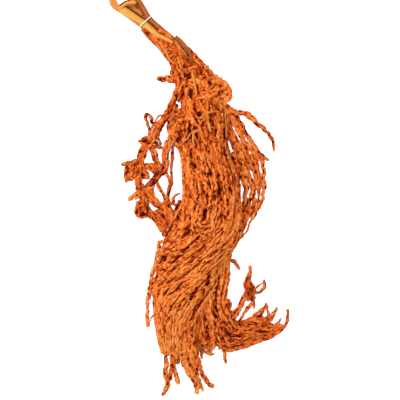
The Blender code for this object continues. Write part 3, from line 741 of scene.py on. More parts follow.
# tassels that stand out on the top head: radius, lift, tone, pale, and the route from above
standingTassels = [
    (2.4, 1.0, 0.8, 0.1, [(-33, 291), (-28, 295), (-22, 298), (-12, 300)]),
    (3.6, 1.0, 0.85, 0.2, [(-32, 271), (-24, 274), (-14, 273), (-4, 270)]),
    (4.2, 0.8, 0.8, 0.1, [(-18, 270), (-8, 270), (-3, 266), (-2, 259)]),
    (3.8, 1.2, 0.78, 0.1, [(38, 260), (32, 259), (23, 255), (13, 245), (2, 242), (-9, 239)]),
    (4.2, 1.0, 0.8, 0.1, [(-18, 233), (-11, 237), (0, 240), (12, 243), (20, 249), (30, 258)]),
    (3.8, 0.8, 0.82, 0.2, [(-30, 240), (-29, 225), (-28, 212), (-31, 203), (-41, 199), (-51, 195),
        (-62, 192)]),
    (4.2, 0.6, 0.72, 0.0, [(-29, 206), (-23, 197), (-15, 187), (-8, 174), (-3, 164), (2, 152), (4, 138)]),
    (5.0, 0.8, 0.8, 0.3, [(14, 239), (22, 236), (32, 233), (42, 226), (50, 218)]),
    (4.4, 0.4, 0.78, 0.2, [(24, 228), (34, 222), (44, 214), (52, 204)]),
    (2.6, 0.6, 0.7, 0.0, [(-20, 222), (-13, 225), (-6, 222), (-2, 215), (-3, 207), (-9, 202), (-16, 204),
        (-19, 210)]),
    (3.0, 0.8, 0.75, 0.1, [(-38, 262), (-34, 252), (-33, 243), (-28, 236), (-22, 231)]),
    (3.2, 0.8, 0.75, 0.1, [(-2, 262), (4, 255), (12, 252), (18, 256), (26, 262)]),
    (2.8, 0.8, 0.74, 0.0, [(2, 232), (-4, 226), (-4, 218), (3, 212), (11, 213), (14, 221), (9, 228)]),
    (3.2, 1.0, 0.78, 0.1, [(-8, 310), (-2, 300), (2, 291), (3, 282), (8, 272)]),
    (3.2, 0.8, 0.72, 0.1, [(-40, 296), (-43, 284), (-40, 272), (-44, 262), (-46, 252)]),
    (2.8, 0.8, 0.74, 0.1, [(-56, 282), (-50, 274), (-51, 264), (-56, 256)]),
    (3.2, 0.4, 0.8, 0.1, [(-39, 136), (-41, 120), (-42, 102), (-40, 84), (-39, 66), (-39, 48), (-40, 30),
        (-41, 12), (-42, -6)]),
    (3.2, 0.8, 0.82, 0.1, [(-37, 96), (-28, 92), (-18, 90), (-8, 86), (0, 78), (6, 70), (11, 58),
        (15, 44), (18, 30)]),
    (2.8, 0.9, 0.76, 0.0, [(-36, 118), (-34, 108), (-28, 99), (-19, 97), (-10, 100), (-6, 110),
        (-8, 122)]),
    (2.2, 0.6, 0.62, 0.0, [(-30, 120), (-31, 110), (-26, 103), (-18, 103), (-13, 109)]),
    (3.2, 0.4, 0.8, 0.0, [(-16, 142), (-10, 130), (-5, 118), (-3, 102), (0, 90), (4, 80)]),
    (2.4, 1.0, 0.85, 0.2, [(-14, 8), (-8, 0), (0, -3), (8, -1), (13, 5)]),
    (3.0, 0.9, 0.82, 0.1, [(-21, 14), (-20, 2), (-15, -8), (-6, -12), (4, -12), (12, -9), (16, -2)]),
    (2.6, 0.9, 0.78, 0.0, [(-12, -16), (-4, -20), (4, -20), (12, -16)]),
    (3.4, 0.4, 0.8, 0.0, [(52, 60), (52, 44), (49, 22), (42, 6), (37, -6), (36, -20), (30, -34),
        (22, -50)]),
    (3.4, 0.4, 0.78, 0.0, [(62, 44), (64, 24), (62, 6), (58, -12), (50, -30), (42, -48), (34, -64),
        (26, -84)]),
    (3.2, 0.4, 0.8, 0.0, [(14, 30), (13, 12), (16, -8), (16, -26), (8, -40), (-4, -54), (-18, -66),
        (-34, -78)]),
    (3.2, 0.5, 0.8, 0.0, [(-22, 46), (-24, 26), (-23, 8), (-24, -12), (-28, -28), (-36, -38),
        (-50, -46)]),
    (3.0, 0.9, 0.8, 0.0, [(-92, -52), (-80, -52), (-66, -51), (-52, -53), (-38, -54)]),
    (3.2, 0.8, 0.76, 0.0, [(-56, -44), (-64, -54), (-68, -64), (-74, -72), (-86, -78)]),
    (3.2, 0.7, 0.8, 0.0, [(-98, -86), (-92, -78), (-80, -76), (-66, -75), (-52, -72), (-40, -64)]),
    (3.4, 0.6, 0.8, 0.0, [(-104, -118), (-90, -119), (-74, -115), (-56, -109), (-38, -102), (-22, -90),
        (-8, -76), (4, -60)]),
    (3.2, 0.6, 0.78, 0.0, [(-96, -104), (-84, -102), (-70, -98), (-54, -92), (-38, -86), (-24, -76),
        (-12, -64)]),
    (3.2, 0.5, 0.8, 0.0, [(-84, -146), (-72, -138), (-60, -132), (-46, -126), (-34, -118), (-20, -108),
        (-6, -92), (8, -76), (22, -62)]),
    (3.2, 0.5, 0.78, 0.0, [(-70, -172), (-60, -158), (-48, -142), (-36, -130), (-24, -120), (-12, -108),
        (2, -92)]),
    (3.2, 0.5, 0.8, 0.0, [(-58, -196), (-50, -176), (-40, -158), (-30, -146), (-18, -136), (-10, -124)]),
    (3.4, 0.5, 0.78, 0.0, [(-86, -172), (-88, -150), (-92, -132), (-96, -118)]),
    (3.2, 0.4, 0.78, 0.0, [(12, -100), (14, -120), (12, -138), (6, -150), (-2, -166), (-10, -190),
        (-18, -210)]),
    (3.2, 0.4, 0.8, 0.0, [(-36, -206), (-24, -186), (-16, -168), (-4, -150), (0, -140)]),
    (3.2, 0.4, 0.76, 0.0, [(-52, -222), (-46, -206), (-34, -192), (-24, -180)]),
]


def topStrands(table, seed):
    # a tassel along the smooth curve through each route, laid on the top head
    draw = np.random.default_rng(seed)
    made = []
    for radius, lift, tone, pale, route in table:
        spots = smoothCurve(route, laidLook["strandPoints"] * len(route))
        line, _ = laidOnTop(spots, radius, lift, laidLook["diveLength"])
        made.append(tasselSurface(line, radius, draw, tone, "fine", pale))
    return made


# a head's tiers: how many, first and last turn, first and last share, depth, radius, tone, detail
# in these tables a lower tone for the deeper tiers and for those under a head is painted shade, on top of
# each tassel's own tone
topOuter = [
    (9, -10, 190, 0.03, 0.3, 0.6, 3.4, 0.57, "fine"),
    (15, -18, 198, 0.22, 0.5, 0.6, 3.4, 0.62, "fine"),
    (20, -18, 198, 0.42, 0.74, 0.6, 3.2, 0.74, "fine"),
]
topFall = [
    (25, -18, 198, 0.64, 1.0, 0.6, 2.9, 0.84, "fine"),
    (13, -10, 190, 0.78, 1.0, 0.4, 2.7, 0.88, "fine"),
]
topMiddle = [
    (9, -10, 190, 0.0, 0.26, 3.6, 3.3, 0.50, "plain"),
    (15, -18, 198, 0.14, 0.44, 3.8, 3.6, 0.48, "plain"),
    (17, -18, 198, 0.36, 0.66, 3.8, 3.6, 0.48, "plain"),
    (17, -18, 198, 0.56, 0.88, 3.8, 3.6, 0.48, "plain"),
    (14, 0, 200, 0.8, 1.0, 3.6, 3.4, 0.50, "plain"),
]
topInner = [
    (12, -10, 190, 0.08, 0.4, 8.5, 4.2, 0.1, "hidden"),
    (15, -15, 195, 0.3, 0.64, 9.0, 4.4, 0.1, "hidden"),
    (15, -15, 195, 0.54, 0.84, 9.0, 4.4, 0.1, "hidden"),
    (12, -15, 195, 0.72, 0.99, 7.5, 4.2, 0.1, "hidden"),
    (4, 205, 335, 0.02, 0.4, 1.0, 4.0, 0.3, "hidden"),
    (5, 205, 250, 0.6, 0.98, 1.0, 4.0, 0.3, "plain"),
]
underLower = [
    (9, 185, 355, 0.02, 0.36, 0.6, 3.8, 0.6, "plain"),
    (15, 170, 370, 0.28, 0.62, 0.6, 4.0, 0.6, "plain"),
    (15, 170, 370, 0.54, 0.82, 0.6, 4.0, 0.6, "plain"),
    (14, 170, 370, 0.72, 1.0, 0.6, 3.9, 0.6, "plain"),
]
underUpper = [
    (15, 0, 150, 0.62, 0.9, 5.0, 3.6, 0.4, "plain"),
    (16, 0, 150, 0.7, 1.0, 0.6, 3.2, 0.80, "fine"),
    (13, 0, 150, 0.8, 1.0, 3.4, 3.4, 0.55, "fine"),
]
tailTiers = [
    (10, -10, 190, 0.0, 0.75, 0.4, 2.5, 0.60, "fine"),
    (11, -10, 190, 0.25, 1.0, 0.4, 2.3, 0.62, "fine"),
    (10, -10, 190, 0.05, 0.85, 3.6, 3.0, 0.14, "fine"),
    (8, 190, 350, 0.05, 0.95, 0.4, 3.0, 0.4, "plain"),
]

coreLook = {
    "stations": 120,
    "sides": 48,
    "first": 0.02,         # the shares of the head where the core begins and ends
    "last": 0.97,
    "inset": 14.0,
    "ridge": 1.6,
    "ridges": 9,
    "winding": 9,
    "rough": 0.7,
    "closing": 0.06,       # the share over which it closes, and how far it draws in there
    "closingInset": 26,
    "lowest": 1.0,
    # painted shade: the core takes the darkest colour, and its ridges are lighter than the grooves between
    # them
    "tone": -0.05,
    "reliefShare": 0.2,
}


def coreSurface(head, seed):
    # the matted middle of a head: its section drawn in, with ridges that wind along with the tassels; its
    # dark colour is painted shade under the tassels
    # inset = inset - ridge x sin(ridges x (turn - twist) + winding x share) + roughness + closing
    draw, look = np.random.default_rng(seed), coreLook
    guides = guidesOf(head)
    rows, sides = look["stations"], look["sides"]
    turns = 2 * np.pi * np.arange(sides) / sides
    share, turn = np.meshgrid(np.linspace(look["first"], look["last"], rows), turns, indexing="ij")
    wind = look["ridges"] * (turn - twistAt(guides, share)) + look["winding"] * share
    inset = look["inset"] - look["ridge"] * np.sin(wind) + draw.normal(0, look["rough"], share.shape)
    closing = 1 - np.sqrt(np.clip((look["last"] - share) / look["closing"], 0, 1))
    inset = inset + look["closingInset"] * closing
    points = headPoints(guides, share.ravel(), turn.ravel(), inset.ravel())
    points[:, 2] = np.maximum(points[:, 2], look["lowest"])
    first, last = points[:sides].mean(0), points[-sides:].mean(0)
    quads, tris = tubeFaces(rows, sides)
    count = rows * sides + 2
    marks = {"relief": np.append(0.5 + look["reliefShare"] * np.sin(wind).ravel(), [0.5, 0.5]),
             "tone": np.full(count, look["tone"]), "pale": np.zeros(count)}
    return {"points": np.vstack([points, first, last]), "quads": quads, "tris": tris, "marks": marks}


# bundles of free tassels: how many, radius, width, height, and the route from above
# two numbers for a radius, width or height are its values at the route's first and last point
# one number is a width or height all along, or a radius that tapers as every tassel's does

bundleLook = {
    "points": 24,           # for each point of a route
    "sideWaver": 0.45,      # each length is the way from one random height to the next
    "sideLength": 45,
    "fineWaver": 0.6,
    "fineLength": 14,
    "heightWaver": 0.8,
    "heightLength": 30,
    "hump": 0.8,            # how much higher the middle ones of a bundle lie, in radii
    "humpShift": (-0.5, 0.9),
    "clearance": 0.4,       # between the lowest tassel and the table
    "scales": (1.10, 1.28),
    "toneShift": 0.18,
}


def bundleLines(bundle, draw):
    # offset = half width x (spread + slow waver) + fine waver
    # height = mean height + hump of the middle ones + waver
    look = bundleLook
    count, radius, widths, heights, route = bundle
    widths, heights = bothEnds(widths), bothEnds(heights)
    thick = max(radius) if isinstance(radius, tuple) else radius
    steps = look["points"] * len(route)
    spots = smoothCurve(route, steps)
    share = np.linspace(0, 1, steps)
    lean = unit(np.gradient(spots, axis=0))
    side = np.stack([-lean[:, 1], lean[:, 0]], axis=1)
    half = np.maximum((widths[0] + (widths[1] - widths[0]) * share) / 2 - thick, 0.0)
    height = heights[0] + (heights[1] - heights[0]) * share
    length = travelledAlong(np.column_stack([spots, height]))[-1]
    lines = []
    for spread in np.linspace(-1, 1, count) if count > 1 else [0.0]:
        strayed = spread + look["sideWaver"] * waver(draw, steps, length / look["sideLength"])
        offset = half * np.clip(strayed, -1, 1)
        offset = offset + look["fineWaver"] * waver(draw, steps, length / look["fineLength"])
        hump = look["hump"] * thick * (1 - spread**2) * (count > 2)
        hump = hump + draw.uniform(*look["humpShift"]) * thick * (count > 1)
        z = height + hump + look["heightWaver"] * waver(draw, steps, length / look["heightLength"])
        z = np.maximum(z, thick + look["clearance"])
        lines.append(np.column_stack([spots + offset[:, None] * side, z]))
    return lines


def bundleTassels(bundles, seed, tone=0.74, pale=0.45):
    # a tassel along each line of each bundle, with a size and a tone of its own
    draw, look = np.random.default_rng(seed), bundleLook
    made = []
    for bundle in bundles:
        radius = bundle[1]
        for line in bundleLines(bundle, draw):
            scale = draw.uniform(*look["scales"])
            size = tuple(scale * r for r in radius) if isinstance(radius, tuple) else scale * radius
            shade = tone + either(draw, look["toneShift"])
            made.append(tasselSurface(line, size, draw, shade, "fine", draw.uniform(0, pale)))
    return made


leftBundles = [
    (4, 3.4, (10, 18), (20, 14), [(-53, 260), (-57, 249), (-60, 237), (-66, 225), (-72, 213), (-78, 203),
        (-88, 187), (-94, 174), (-97, 166)]),
    (3, 3.4, (17, 16), (14, 10), [(-99, 167), (-105, 158), (-112, 152), (-117, 145), (-121, 137),
        (-123, 128), (-124, 118), (-124, 106), (-126, 95), (-127, 84), (-126, 74)]),
    (2, 3.3, (11, 7), (16, 14), [(-55, 232), (-61, 218), (-65, 209), (-68, 199), (-69, 188), (-67, 176),
        (-68, 164), (-69, 156)]),
    (2, 3.6, (13, 16), (14, 11), [(-68, 162), (-71, 152), (-73, 145), (-75, 135), (-76, 125), (-76, 118),
        (-78, 110), (-80, 102)]),
    (1, (2.1, 2.8), 3, (14, 10), [(-58, 162), (-61, 148), (-62, 133), (-63, 121), (-64, 106), (-64, 95),
        (-63, 87), (-64, 79), (-67, 68), (-69, 60), (-73, 52), (-75, 44)]),
    (1, (2.6, 3.0), 5, (12, 10), [(-80, 106), (-76, 101), (-71, 92), (-68, 83), (-68, 74), (-69, 66),
        (-71, 56)]),
    (2, 3.2, (12, 13), (12, 10), [(-76, 112), (-82, 104), (-87, 98), (-93, 91), (-99, 84), (-105, 79),
        (-111, 73), (-117, 68)]),
    (2, 2.9, (9, 12), (13, 11), [(-105, 153), (-101, 145), (-97, 138), (-96, 130), (-93, 121), (-90, 114),
        (-86, 109), (-81, 105)]),
    (3, 2.8, (12, 10), (11, 10), [(-121, 104), (-115, 110), (-107, 113), (-101, 112), (-96, 106),
        (-94, 100)]),
    (1, (3.0, 2.0), 6, (13, 12), [(-104, 151), (-97, 149), (-89, 148), (-81, 146), (-75, 146)]),
    (1, 2.4, 5, (14, 12), [(-91, 168), (-86, 160), (-86, 153), (-89, 148)]),
    (1, (2.6, 2.4), 5, (14, 12), [(-94, 193), (-102, 195), (-102, 203), (-106, 209), (-111, 212),
        (-114, 207), (-112, 198), (-109, 189), (-106, 180), (-102, 172)]),
    (1, 2.8, 6, (17, 13), [(-76, 208), (-84, 200), (-92, 195), (-98, 189), (-104, 181), (-106, 171)]),
    (1, (1.8, 1.5), 3, (14, 15), [(-96, 195), (-92, 203), (-89, 208), (-84, 211.5)]),
    (1, (3.0, 1.5), 6, (12, 10), [(-104, 168), (-113, 165), (-121, 162), (-128, 159)]),
    (1, (3.0, 1.5), 6, (12, 10), [(-110, 150), (-119, 155), (-127, 159)]),
    (1, 2.8, 6, (11, 10), [(-102, 160), (-111, 160), (-119, 160)]),
    (1, (3.4, 3.4), 7, (11, 8), [(-128, 124), (-136, 121), (-144, 118), (-153, 117), (-162, 117)]),
    (1, 3.2, 7, (10, 8), [(-127, 112), (-137, 108), (-144, 106), (-151, 105)]),
    (1, 3.2, 7, (9, 8), [(-130, 116), (-139, 113), (-147, 111), (-153, 110)]),
    (1, 3.2, 7, (9, 8), [(-130, 97), (-139, 94), (-147, 92), (-153, 91)]),
    (1, 3.0, 6, (12, 11), [(-113, 113), (-105, 107), (-98, 100), (-93, 92)]),
    (2, 3.2, 10, (11, 10), [(-120, 105), (-114, 100), (-110, 94), (-112, 88)]),
    (1, 3.2, 7, (10, 8), [(-127, 101), (-137, 99), (-144, 97), (-150, 96)]),
    (1, 3.2, 7, (10, 8), [(-128, 91), (-137, 91), (-145, 87), (-154, 81)]),
    (1, 2.8, 6, 10, [(-150, 112), (-151, 103), (-151, 93), (-152, 84)]),
    (1, 2.8, 6, 12, [(-144, 114), (-142, 103), (-141, 91)]),
    (1, 3.0, 6, 13, [(-136, 118), (-134, 105), (-134, 90)]),
    (1, (4.2, 2.6), 7, (10, 8), [(-122, 62), (-130, 60), (-137, 56), (-143, 51), (-146, 45)]),
    (1, 2.2, 5, (10, 8), [(-124, 54), (-131, 52), (-135, 49)]),
    (4, 3.5, (17, 15), (11, 10), [(-126, 78), (-123, 66), (-119, 57), (-116, 47), (-114, 38), (-110, 28),
        (-103, 19), (-93, 9), (-84, -1), (-76, -11), (-69, -21)]),
    (1, (4.0, 3.0), 7, (11, 8), [(-119, 46), (-128, 38), (-131, 28), (-128, 21), (-122, 16), (-115, 17),
        (-107, 18)]),
    (1, 3.2, 7, (12, 11), [(-117, 40), (-123, 33), (-122, 28), (-116, 26)]),
    (3, 3.0, (14, 16), (12, 11), [(-114, 70), (-108, 63), (-101, 52), (-91, 41), (-82, 31), (-72, 18),
        (-65, 5), (-62, -8)]),
    (1, (2.6, 3.0), 5, (12, 10), [(-94, 84), (-90, 76), (-86, 68), (-82, 62), (-78, 54), (-75, 46),
        (-74, 39)]),
    (1, 2.8, 4, (11, 10), [(-97, 82), (-100, 72), (-101, 63), (-98, 56)]),
    (1, 2.2, 4, (11, 10), [(-103, 79), (-107, 70), (-106, 62)]),
    (3, 3.0, (10, 17), (12, 11), [(-73, 56), (-74, 46), (-73, 38), (-69, 28), (-65, 19), (-63, 7)]),
    (1, (2.4, 2.2), 5, 12, [(-72, 46), (-62, 40), (-54, 39), (-44, 45)]),
    (1, (2.4, 1.1), 5, (13, 12), [(-60, 40), (-61, 48), (-59, 54), (-54, 58), (-47, 61)]),
    (2, 3.0, 11, (10, 12), [(-72, 32), (-65, 25), (-56, 22), (-46, 26)]),
    (3, 3.4, 18, (10, 12), [(-59, 24), (-57, 9), (-59, -6), (-63, -21)]),
    (2, 3.2, 14, 13, [(-85.5, 2), (-80, -9), (-75.5, -21)]),
    (3, 3.2, (15, 13), (20, 16), [(-38, 214), (-47, 208), (-56, 205), (-66, 200)]),
    (1, 3.2, 7, (21, 17), [(-38, 221), (-47, 217), (-54, 214), (-63, 211)]),
    (2, 3.2, 12, (14, 16), [(-44, 46), (-50, 36), (-54, 26), (-58, 16)]),
    (3, 3.2, (12, 17), 12, [(-95, 28), (-87, 20), (-79, 10), (-73, -2), (-68, -14)]),
    (2, 3.0, (10, 9), (20, 15), [(-36, 222), (-45, 211), (-55, 203), (-62, 192), (-64, 180)]),
    (1, 3.2, 7, (20, 16), [(-42, 212), (-50, 200), (-56, 188), (-58, 172)]),
]

rightBundles = [
    (2, 3.2, (12, 8), (20, 13), [(46, 222), (53, 212), (59, 205), (64, 197), (70, 188), (76, 178),
        (81, 169), (87, 161), (93, 152)]),
    (2, 2.9, (9, 8), (13, 11), [(92, 154), (99, 142), (105, 131), (109, 121), (109, 114)]),
    (1, (2.6, 2.1), 5, (12, 9), [(101, 142), (110, 133), (117, 127), (123, 123)]),
    (1, (3.4, 2.4), 6, (11, 8), [(109, 123), (111, 110), (113, 101), (113, 89), (114, 78), (113, 68),
        (111, 59), (110, 49), (107, 40), (103, 30)]),
    (1, 1.7, 4, (10, 9), [(107, 98), (109, 86), (110, 72)]),
    (2, 3.3, (12, 8), (20, 12), [(38, 228), (46, 213), (53, 198), (61, 186), (66, 177), (72, 165),
        (78, 156), (85, 148), (93, 140), (99, 132)]),
    (2, 3.2, 9, (20, 14), [(36, 226), (42, 214), (44, 196), (46, 177), (52, 163), (61, 155), (68, 148),
        (74, 140)]),
    (4, 3.4, (20, 26), (15, 12), [(66, 157), (69, 145), (73, 131), (77, 116), (78, 104)]),
    (3, 3.0, (18, 10), (13, 10), [(82, 133), (89, 120), (94, 108), (97, 99), (100, 87), (102, 76),
        (103, 66)]),
    (1, (2.2, 1.9), 4, (10, 9), [(103, 69), (103, 55), (102, 46), (100, 34)]),
    (4, 3.3, (20, 27), (13, 10), [(72, 112), (77, 94), (82, 82), (86, 70), (85, 59), (83, 47)]),
    (4, 3.4, (30, 26), (12, 10), [(89, 52), (86, 38), (80, 24), (71, 10), (63, -4), (57, -18),
        (48, -34)]),
    (2, 3.1, (11, 7), (11, 9), [(101, 48), (100, 36), (96, 25), (93, 16), (91, 9)]),
    (1, (1.5, 1.7), 3, (10, 8), [(92, 17), (86, 4), (83, -6), (80, -13), (73, -20), (65, -28)]),
    (2, 2.8, 8, (13, 11), [(74, 141), (82, 132), (89, 124), (96, 116), (100, 106)]),
    (3, 3.4, (14, 18), (18, 13), [(48, 136), (56, 128), (62, 116), (66, 104), (68, 94)]),
    (1, (5.2, 2.1), 9, (24, 7), [(40, 222), (53, 215), (69, 214), (84, 209), (96, 199), (106, 190),
        (116, 180), (124, 171), (129, 160), (131, 149), (132, 139)]),
    (2, 3.0, (9, 8), (19, 15), [(43, 206), (47, 192), (50, 180), (56, 168), (62, 159), (69, 150)]),
    (3, 3.2, 14, (18, 15), [(48, 180), (53, 166), (57, 152), (61, 139), (65, 126)]),
    (2, 3.2, 9, (22, 20), [(60, 116), (62, 100), (63, 78), (63, 54), (62, 34)]),
    (1, 3.2, 7, 12, [(80, 102), (84, 89), (88, 75), (88, 60), (85, 46)]),
    (1, 2.8, 6, (12, 10), [(92, 136), (98, 125), (101, 114), (103, 104), (105, 92)]),
    (2, 3.2, 10, 14, [(86, 32), (80, 17), (74, 1), (67, -15), (60, -30)]),
    (2, 3.0, 8, (12, 11), [(62, 122), (72, 118), (82, 113), (90, 106)]),
]

strayBundles = [
    (1, 3.2, 6, (15, 6), [(40, -58), (49, -66), (55, -69), (61, -76), (67, -86)]),
    (2, 3.4, (9, 8), (14, 9), [(44, -188), (49, -178), (57, -168), (63, -158)]),
    (5, 3.3, (40, 34), (16, 8), [(-14, -176), (-11, -202), (-6, -222), (-2, -236)]),
    (2, 3.2, (12, 10), (14, 8), [(44, -186), (55, -175), (65, -160), (71, -147), (77, -135), (80, -122),
        (82, -108), (85, -93)]),
    (1, (3.2, 3.6), 7, (9, 8), [(82, -112), (84, -100), (86, -90), (87, -77)]),
    (3, 3.3, (14, 20), (9, 8), [(81, -108), (84, -122), (87, -134), (88, -146)]),
    (1, 3.0, 7, (9, 8), [(80, -104), (88, -114), (94, -124), (92, -134)]),
    (1, (3.0, 2.2), 5, (9, 7), [(88, -128), (96, -131), (104, -130), (112, -123), (115, -113),
        (113, -104)]),
    (1, 1.6, 3, (9, 8), [(95, -125), (101, -118), (108, -114), (113, -109)]),
    (1, (3.0, 1.6), (6, 5), (9, 6), [(90, -130), (92, -142), (93, -152), (94, -162)]),
    (1, (2.4, 1.6), 4, (9, 6), [(90, -148), (83, -158), (77, -167), (72, -176), (64, -186)]),
    (1, (3.2, 1.8), 6, (12, 7), [(84, -186), (98, -170), (108, -163), (114, -158), (118, -149)]),
    (1, (2.0, 1.6), 4, (9, 7), [(117, -150), (119, -162), (122, -174), (124, -186)]),
    (3, 3.0, (14, 8), (11, 7), [(66, -194), (80, -189), (94, -182), (106, -177), (120, -186)]),
    (2, (3.0, 2.0), (8, 6), (10, 7), [(100, -192), (112, -186), (123, -178), (132, -169), (136, -163),
        (138, -157)]),
    (1, 2.6, 5, (9, 7), [(112, -182), (122, -176), (130, -174), (135, -172)]),
    (1, 2.6, 5, (9, 7), [(98, -182), (107, -174), (113, -165), (116, -154)]),
    (1, 2.6, 5, (9, 7), [(114, -192), (124, -184), (132, -176)]),
    (1, 2.6, 5, (10, 8), [(-8, -234), (0, -243), (7, -246), (13, -242)]),
    (2, 3.0, 12, (12, 8), [(6, -196), (13, -212), (18, -226), (20, -234)]),
    (1, (2.8, 1.6), 4, (8, 6), [(130, -196), (138, -190), (143, -184), (146, -178)]),
    (2, (3.4, 1.9), (9, 6), (9, 7), [(54, -235), (72, -233), (90, -227), (108, -220), (124, -213),
        (140, -204), (152, -195.3), (157.5, -184), (158.6, -172), (158.3, -161)]),
    (1, (3.6, 2.2), (7, 6), (12, 6), [(32, -218), (35, -234), (38, -250), (40, -266)]),
    (5, 3.3, (34, 32), (13, 7), [(2, -208), (0, -222), (-2, -234), (-3, -243)]),
    (1, (2.6, 1.8), (5, 4), (9, 6), [(4, -232), (7, -244), (11, -248), (18, -247)]),
    (1, (2.6, 1.6), (5, 4), (9, 6), [(-6, -236), (-6, -246), (-6, -258)]),
    (1, (2.6, 1.6), (5, 4), (9, 6), [(-14, -236), (-15, -248), (-16, -260)]),
    (3, 3.3, (16, 18), (14, 9), [(40, -142), (42, -156), (44, -170), (46, -188)]),
    (1, 2.9, 6, (20, 10), [(32, -184), (46, -202), (62, -218), (82, -230)]),
    (1, 2.9, 6, (20, 10), [(44, -180), (62, -195), (84, -210), (106, -222)]),
    (1, 2.9, 6, (20, 9), [(50, -180), (74, -190), (97, -201), (120, -214)]),
    (1, 2.9, 6, (21, 10), [(30, -190), (38, -210), (50, -226), (62, -235)]),
    (1, 2.9, 6, (20, 8), [(66, -186), (92, -194), (114, -199), (138, -202)]),
    (1, 2.9, 6, (21, 10), [(22, -194), (27, -214), (34, -232)]),
]

hangingBundles = [
    (1, (3.4, 3.6), 7, (20, 6), [(-77, -214), (-74, -238), (-74, -256), (-75, -275), (-75, -288),
        (-74, -300)]),
    (1, (4.0, 3.0), 7, (24, 6), [(-62, -216), (-63, -245), (-63, -262), (-64, -278), (-67, -293),
        (-70.5, -302), (-75, -312), (-79, -320.5), (-82, -329)]),
    (1, (3.6, 3.4), 7, (22, 6), [(-58, -232), (-60, -262), (-58, -278), (-54, -290), (-51, -306)]),
    (4, 3.4, (22, 12), (26, 9), [(-66, -208), (-60, -236), (-56, -252), (-54, -266)]),
    (2, 3.6, (16, 10), (26, 7), [(-44, -212), (-43, -240), (-39, -260), (-34, -274), (-26, -288),
        (-19, -301), (-16, -312), (-15, -324)]),
    (4, 3.5, (28, 12), (28, 8), [(-34, -208), (-33, -240), (-28, -262), (-24, -276), (-18, -290),
        (-12, -303)]),
    (1, (3.6, 3.0), 7, (12, 6), [(-24, -284), (-16, -298), (-9, -309), (-4, -321)]),
    (1, (4.2, 3.6), 8, (30, 6), [(-26, -206), (-20, -232), (-15, -252), (-12, -266), (-9, -277),
        (-4, -288), (3, -300), (10, -308), (18, -311)]),
    (1, 3.1, 6, (28, 18), [(-68, -28), (-76, -30), (-84, -32), (-89, -37), (-89, -47), (-92, -61),
        (-95, -74), (-99, -87), (-103, -101), (-105, -112), (-104, -124), (-99, -136)]),
    (1, (3.2, 2.8), 6, (20, 7), [(-94, -104), (-102, -116), (-107, -128), (-109, -142), (-110, -158),
        (-110, -176), (-111, -197)]),
    (1, 1.5, 3, (10, 9), [(-111, -195), (-105, -184), (-99, -174), (-94, -175), (-90, -187)]),
    (1, 3.0, 6, (38, 30), [(-50, -51), (-66, -52), (-80, -54), (-88, -56)]),
    (1, 2.4, 5, (24, 20), [(-90, -66), (-95, -80), (-99, -95), (-101, -108)]),
    (1, 3.2, 6, (36, 34), [(34, 252), (40, 250), (43, 243), (40, 234)]),
    (1, 4.0, 8, (40, 37), [(4, 286), (12, 283), (20, 281), (26, 280)]),
    (1, 2.4, 5, (38, 37), [(24, 278), (31, 278), (33, 282)]),
    (1, 4.4, 8, (44, 38), [(10, 266), (22, 270), (33, 272), (42, 269)]),
    (1, 4.4, 8, (44, 36), [(14, 256), (26, 258), (38, 263), (46, 258), (48, 250), (44, 241), (38, 232)]),
    (1, 3.6, 7, (42, 36), [(20, 274), (30, 268), (38, 260), (40, 252)]),
    (1, 3.0, 6, (36, 34), [(30, 240), (36, 246), (43, 248)]),
]

# bundles that cross the neck, where the tassels leave the stems
neckBundles = [
    (2, 4.2, (18, 12), (32, 25), [(-42, 281), (-54, 280), (-66, 279), (-77, 279)]),
    (1, (4.2, 5.0), (11, 12), (30, 20), [(-54, 278), (-66, 278), (-78, 278.5), (-92, 279.5)]),
    (1, 4.2, 8, (19, 17), [(-80, 278), (-85, 279), (-91, 280)]),
    (2, 2.9, (8, 11), (36, 39), [(-90, 373), (-77, 363), (-65, 355), (-52, 345), (-41, 335), (-29, 324),
        (-17, 311)]),
    (2, 3.0, 8, (16, 20), [(-120, 378), (-111, 367.5), (-101, 354), (-93, 342)]),
]

# dry curled leaves in the left spray: radius, tone, heights at both ends, and the route
dryLeaves = [
    (5.2, 0.22, (10, 8), [(-97, 140), (-96, 132), (-95, 126), (-93, 119)]),
    (6.4, 0.18, (8, 7), [(-122, 94), (-116, 94), (-108, 90)]),
    (3.4, 0.05, (9, 8), [(-99, 158), (-94, 156), (-89, 153)]),
    (3.0, 0.06, (16.5, 14), [(-110, 163), (-116, 161), (-121, 160)]),
    (5.2, 0.02, 6, [(-128, 27), (-119, 25), (-109, 23)]),
    (4.4, 0.1, 6, [(-124, 21.5), (-116, 20.5), (-108, 20)]),
    (4.6, 0.35, 5, [(-152, 108), (-145, 102), (-138, 98)]),
]


leafLook = {"points": 40, "flatness": 0.4}


def leafSurfaces(leaves, seed):
    # a short flattened tassel along each route
    draw = np.random.default_rng(seed)
    made = []
    for radius, tone, heights, route in leaves:
        spots = smoothCurve(route, leafLook["points"])
        line = np.column_stack([spots, np.linspace(*bothEnds(heights), len(spots))])
        made.append(tasselSurface(line, radius, draw, tone, flatness=leafLook["flatness"]))
    return made


# the three tassels that the bunch rests on, side by side under the middle of its weight
restingRoutes = [
    [(-20, 108), (-23, 82), (-22, 56), (-20, 30), (-22, 6)],
    [(-8, 116), (-9, 86), (-8, 56), (-6, 26), (-8, 0)],
    [(4, 108), (5, 82), (6, 56), (8, 30), (6, 6)],
]
restingBundles = [(1, 4.6, 9, 4.0, route) for route in restingRoutes]


